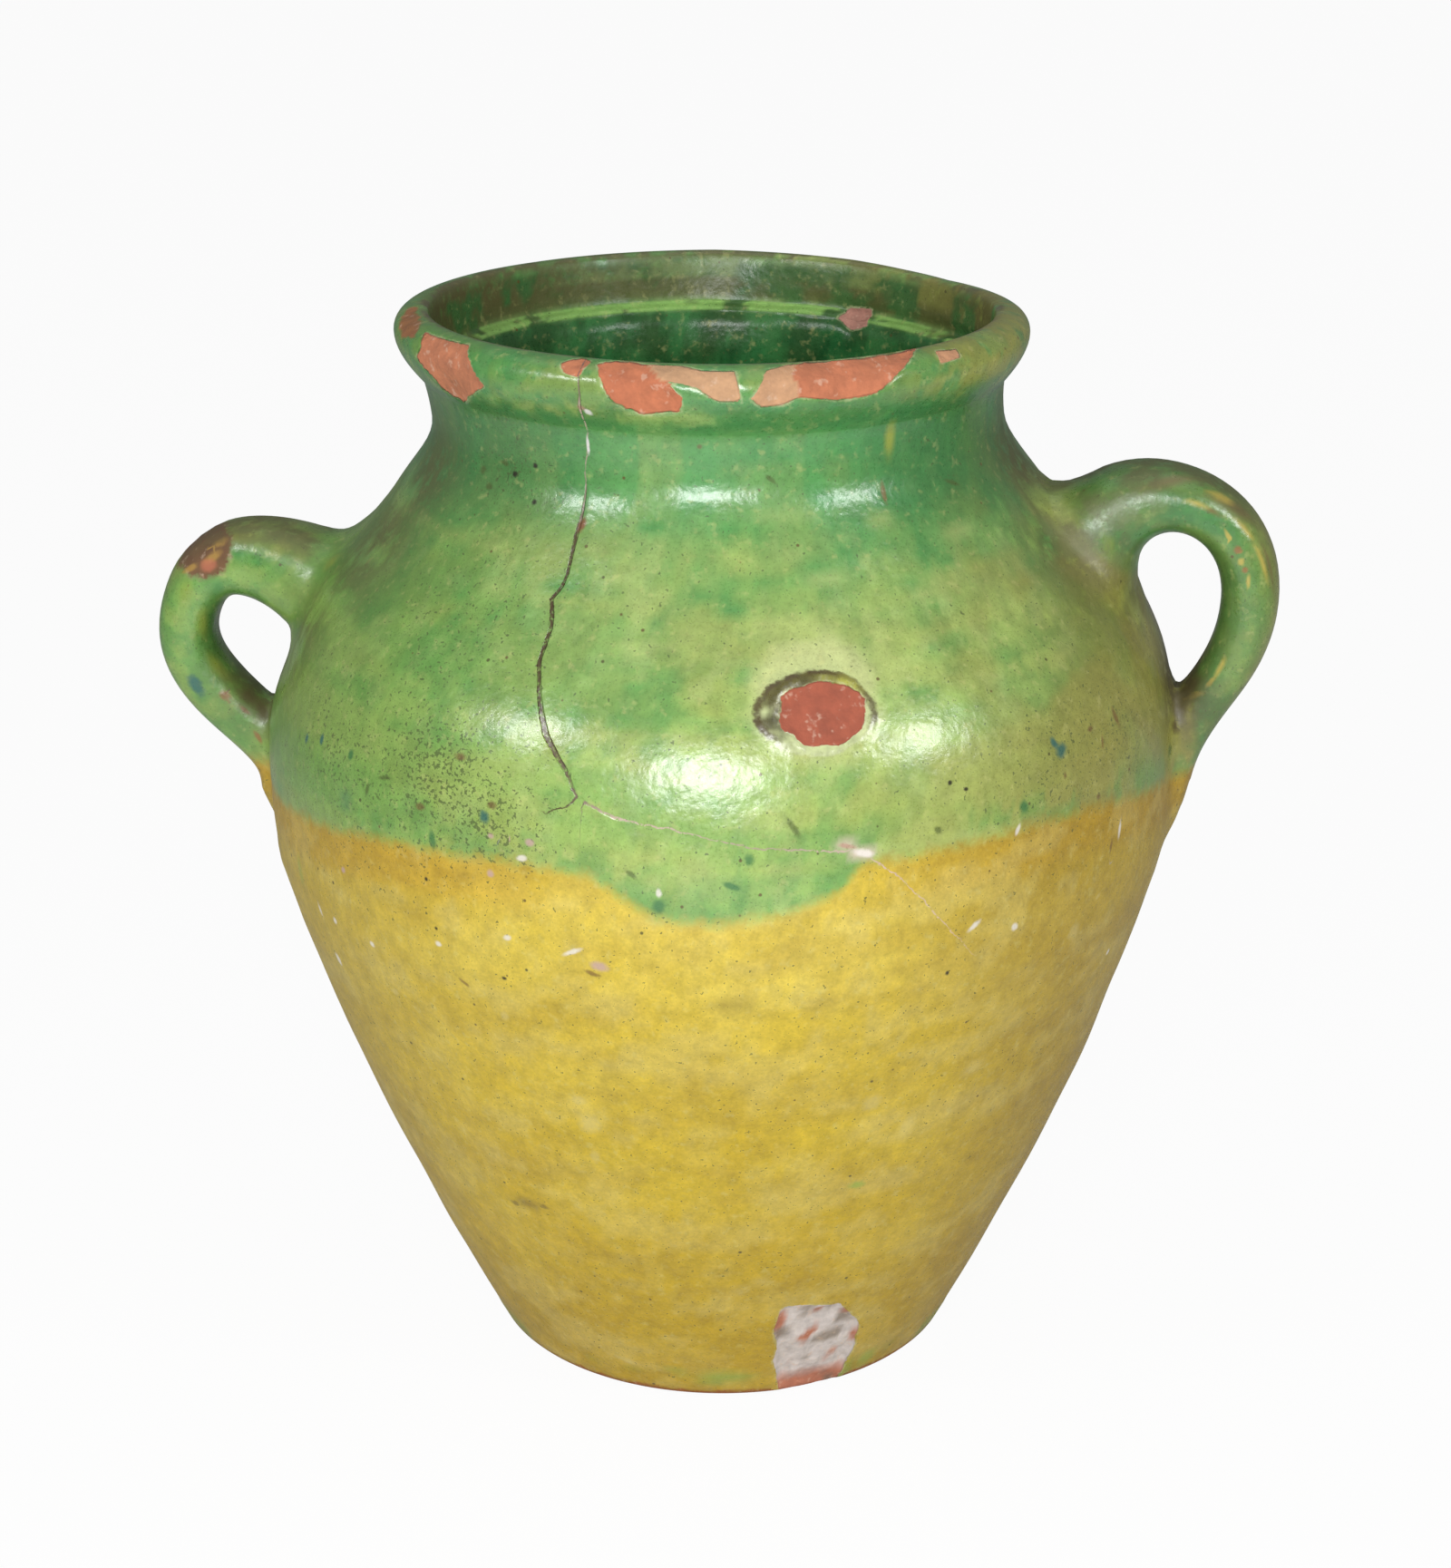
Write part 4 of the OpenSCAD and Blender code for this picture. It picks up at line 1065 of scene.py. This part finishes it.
# specks of iron, each in its own cell and of its own size and brown, and crowded soot
speck_spacing = 4.4
cells = recipe.new("ShaderNodeTexVoronoi")
threads.new(place, cells.inputs["Vector"])
cells.inputs["Scale"].default_value = 1000 / speck_spacing
lots = recipe.new("ShaderNodeSeparateColor")
threads.new(cells.outputs["Color"], lots.inputs[0])
speck_size = rise(lots.outputs[0], 0.5, 1.0, 0.13)
speck = rise(sum_of("SUBTRACT", speck_size, cells.outputs["Distance"]), 0.0, 0.06, 0.85)
speck_colour = lay(tint("4b4a22"), tint("5f4a22"), rise(lots.outputs[1], 0.3, 0.7))
colour = lay(colour, speck_colour, speck)
soot_here = sum_of("MULTIPLY_ADD", field("soot"), 0.14, grain)
colour = lay(colour, tint("45512a"), rise(soot_here, 0.64, 0.71, 0.75))

# stains lie under the broken places; their colours already hold their cover
keep = sum_of("SUBTRACT", 1.0, field("stain", "Alpha"))
colour = node("VectorMath", {0: colour, 1: keep, 2: field("stain", "Color")},
              operation="MULTIPLY_ADD")

# the collar round the scar, burnt brown at its rim and yellow green on its lumps
collar_field = ragged("collar", 2.6)
collar_tone = sum_of("MULTIPLY_ADD", pale_fleck, 1.1, 0.45)
collar_colour = deepen(field("collar_paint", "Color"), collar_tone)
colour = lay(colour, collar_colour, rise(collar_field, -0.4, 0.5))
burn = both(both(rise(collar_field, -0.7, 0.2), rise(collar_field, 1.9, 0.8)),
            field("collar_paint", "Alpha"))
colour = lay(colour, tint("4d3f1e"), both(burn, rise(fleck, 0.32, 0.52, 0.88)))

# broken places: a pale line of thin glaze, then bare clay
bare_field = ragged("bare", 1.3)
chip_edge = rise(bare_field, -0.7, -0.2, 0.4)
broken_here = rise(bare_field, -0.08, 0.1)
worn_here = rise(ragged("worn_through", 3.0), -0.4, 1.0, 0.92)
colour = lay(colour, tint("c9c998"), both(chip_edge, rise(pale_fleck, 0.38, 0.56)))
clay = deepen(field("bare_clay", "Color"), sum_of("MULTIPLY_ADD", fleck, 0.85, 0.52))
clay = lay(clay, tint("e2c4ac"), rise(pale_fleck, 0.58, 0.72, 0.35))
any_clay = sum_of("MAXIMUM", broken_here, worn_here)
colour = lay(colour, clay, any_clay)

# the crack, dark with dirt above and pale where it runs thin
crack_here = sum_of("SUBTRACT", field("crack_width"), sum_of("ABSOLUTE", ragged("crack", 1.9)))
cracked = both(rise(crack_here, -0.16, 0.06), rise(field("crack_width"), 0.01, 0.05))
colour = lay(colour, field("crack_colour", "Color"), both(cracked, rise(grain, 0.3, 0.5, 0.9)))

# the small marks
for i in range(len(layers)):
    away = node("VectorMath", {0: field(f"mark_at_{i}", "Vector")}, "Value", operation="LENGTH")
    inside_mark = rise(sum_of("MULTIPLY_ADD", uneven, 1.1, away), 1.25, 0.35)
    paint = f"mark_paint_{i}"
    colour = lay(colour, field(paint, "Color"), both(inside_mark, field(paint, "Alpha")))

# dirt lies over everything
grime_here = both(field("dirt", "Alpha"), rise(fleck, 0.25, 0.52, 0.97))
colour = lay(colour, field("dirt", "Color"), grime_here)

# the green is glossy, the yellow satin, and dirt and clay are dull; inside it gleams least
yellow_rough, green_rough, dirt_rough, clay_rough = 0.44, 0.29, 0.6, 0.92
shine = blend(yellow_rough, green_rough, dipped)
shine = sum_of("MULTIPLY_ADD", grain, 0.14, sum_of("SUBTRACT", shine, 0.07))
shine = blend(shine, dirt_rough, grime_here)
shine = blend(shine, clay_rough, any_clay)
gleam = blend(blend(0.5, 0.9, dipped), 0.3, field("inside"))
# orange peel in the glaze, a rougher skin below the dip line, and raw grain where it is broken
bare_glaze = rise(field("above_dip"), 1.0, -1.0)
raw = rise(field("bare"), -0.2, 0.3)
peel_height = sum_of("MULTIPLY_ADD", sum_of("MAXIMUM", bare_glaze, raw), 0.09, 0.06)
relief_mm = both(mottle(1.1, 2), peel_height)
lump_height = sum_of("MULTIPLY_ADD", raw, 0.55, 0.25)
relief_mm = sum_of("MULTIPLY_ADD", mottle(5.0, 2), lump_height, relief_mm)
into_crack = sum_of("SUBTRACT", sum_of("ABSOLUTE", field("crack")), field("crack_width"))
crack_cut = rise(into_crack, 0.25, -0.1, -0.4)
relief_mm = sum_of("MULTIPLY_ADD", crack_cut, rise(field("crack_width"), 0.15, 0.4), relief_mm)
bump = node("Bump", {"Strength": 1.0, "Distance": 0.001, "Height": relief_mm})
surface = recipe["Principled BSDF"]
for name, value in (("Base Color", colour), ("Roughness", shine), ("Normal", bump),
                    ("Specular IOR Level", gleam)):
    threads.new(value, surface.inputs[name])

shape_mesh()
joined.shade_smooth()
joined.materials.clear()
joined.materials.append(fired)
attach(pot, "root")
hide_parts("pot")


# THE SETTING
# A plain pale floor and a white background, soft lamps in front and at both
# sides, and the camera at the height and distance from which the pot is looked at.
def whiten(tree, real, white, whiteness, output):
    """Show the camera white, by a share, and leave the light and the shadow as they are."""
    nodes, links = tree.nodes, tree.links
    path = nodes.new("ShaderNodeLightPath")
    share = nodes.new("ShaderNodeMath")
    share.operation = "MULTIPLY"
    share.inputs[1].default_value = whiteness
    either = nodes.new("ShaderNodeMixShader")
    links.new(path.outputs["Is Camera Ray"], share.inputs[0])
    links.new(share.outputs[0], either.inputs["Fac"])
    links.new(real.outputs[0], either.inputs[1])
    links.new(white.outputs[0], either.inputs[2])
    links.new(either.outputs[0], nodes.new(output).inputs["Surface"])


floor_half, floor_drop, floor_grey, floor_whiteness = 4.0, 0.0002, 0.83, 0.95
matt_floor = bpy.data.materials.new("Pale floor")
matt_floor.use_nodes = True
matt_floor.node_tree.nodes.clear()
matt = matt_floor.node_tree.nodes.new("ShaderNodeBsdfDiffuse")
matt.inputs["Color"].default_value = (floor_grey, floor_grey, floor_grey, 1)
white = matt_floor.node_tree.nodes.new("ShaderNodeEmission")
whiten(matt_floor.node_tree, matt, white, floor_whiteness, "ShaderNodeOutputMaterial")
corners = np.array([[-1, -1, 0], [1, -1, 0], [1, 1, 0], [-1, 1, 0]]) * floor_half
floor = new_object("floor", corners, [(0, 1, 2, 3)])
floor.data.materials.append(matt_floor)
floor.location.z = -floor_drop

ambient_strength = 0.19
sky = bpy.data.worlds.new("Soft light")
sky.use_nodes = True
sky.node_tree.nodes.clear()
sky_lights = []
for strength in (ambient_strength, 1.0):
    light = sky.node_tree.nodes.new("ShaderNodeBackground")
    light.inputs["Color"].default_value = (1, 1, 1, 1)
    light.inputs["Strength"].default_value = strength
    sky_lights.append(light)
whiten(sky.node_tree, *sky_lights, 1.0, "ShaderNodeOutputWorld")
bpy.context.scene.world = sky


def lamp(name, place, target, width, height, watts):
    light = bpy.data.lights.new(name, "AREA")
    light.shape = "RECTANGLE"
    light.size = width
    light.size_y = height
    light.energy = watts
    light.color = (0.98, 0.99, 1.0)
    holder = bpy.data.objects.new(name, light)
    holder.location = place
    aim = Vector(target) - Vector(place)
    holder.rotation_euler = aim.to_track_quat("-Z", "Y").to_euler()
    bpy.context.scene.collection.objects.link(holder)


lamp("front lamp", (-0.06, -0.8, 0.45), (0, 0, 0.13), 0.27, 0.22, 3.8)
lamp("left lamp", (-0.43, -0.37, 0.53), (0, 0, 0.18), 0.18, 0.07, 1.0)
lamp("right lamp", (0.45, -0.39, 0.5), (0, 0, 0.18), 0.14, 0.13, 1.1)
lamp("top lamp", (0.0, 0.1, 1.3), (0, 0, 0), 1.2, 1.2, 2.0)

# the picture's height and the lens's focal length in pixels, and where the eye is, in metres;
# the line of sight falls by so much over so much
picture_height, focal_length = 1729, 3385.2
eye_side, eye_back, eye_height = 0.0008, 0.7461, 0.41565
sight_fall, sight_level = 0.34186, 0.93975
view = bpy.data.cameras.new("view")
view.sensor_fit = "AUTO"
view.sensor_width = 36.0
view.lens = 36.0 * focal_length / picture_height
view.clip_start = 0.01
camera = bpy.data.objects.new("view", view)
camera.location = (eye_side, -eye_back, eye_height)
looked_at = Vector((eye_side, 0.0, eye_height - eye_back * sight_fall / sight_level))
camera.rotation_euler = (looked_at - camera.location).to_track_quat("-Z", "Y").to_euler()
bpy.context.scene.collection.objects.link(camera)
bpy.context.scene.camera = camera
bpy.context.scene.view_settings.view_transform = "Standard"
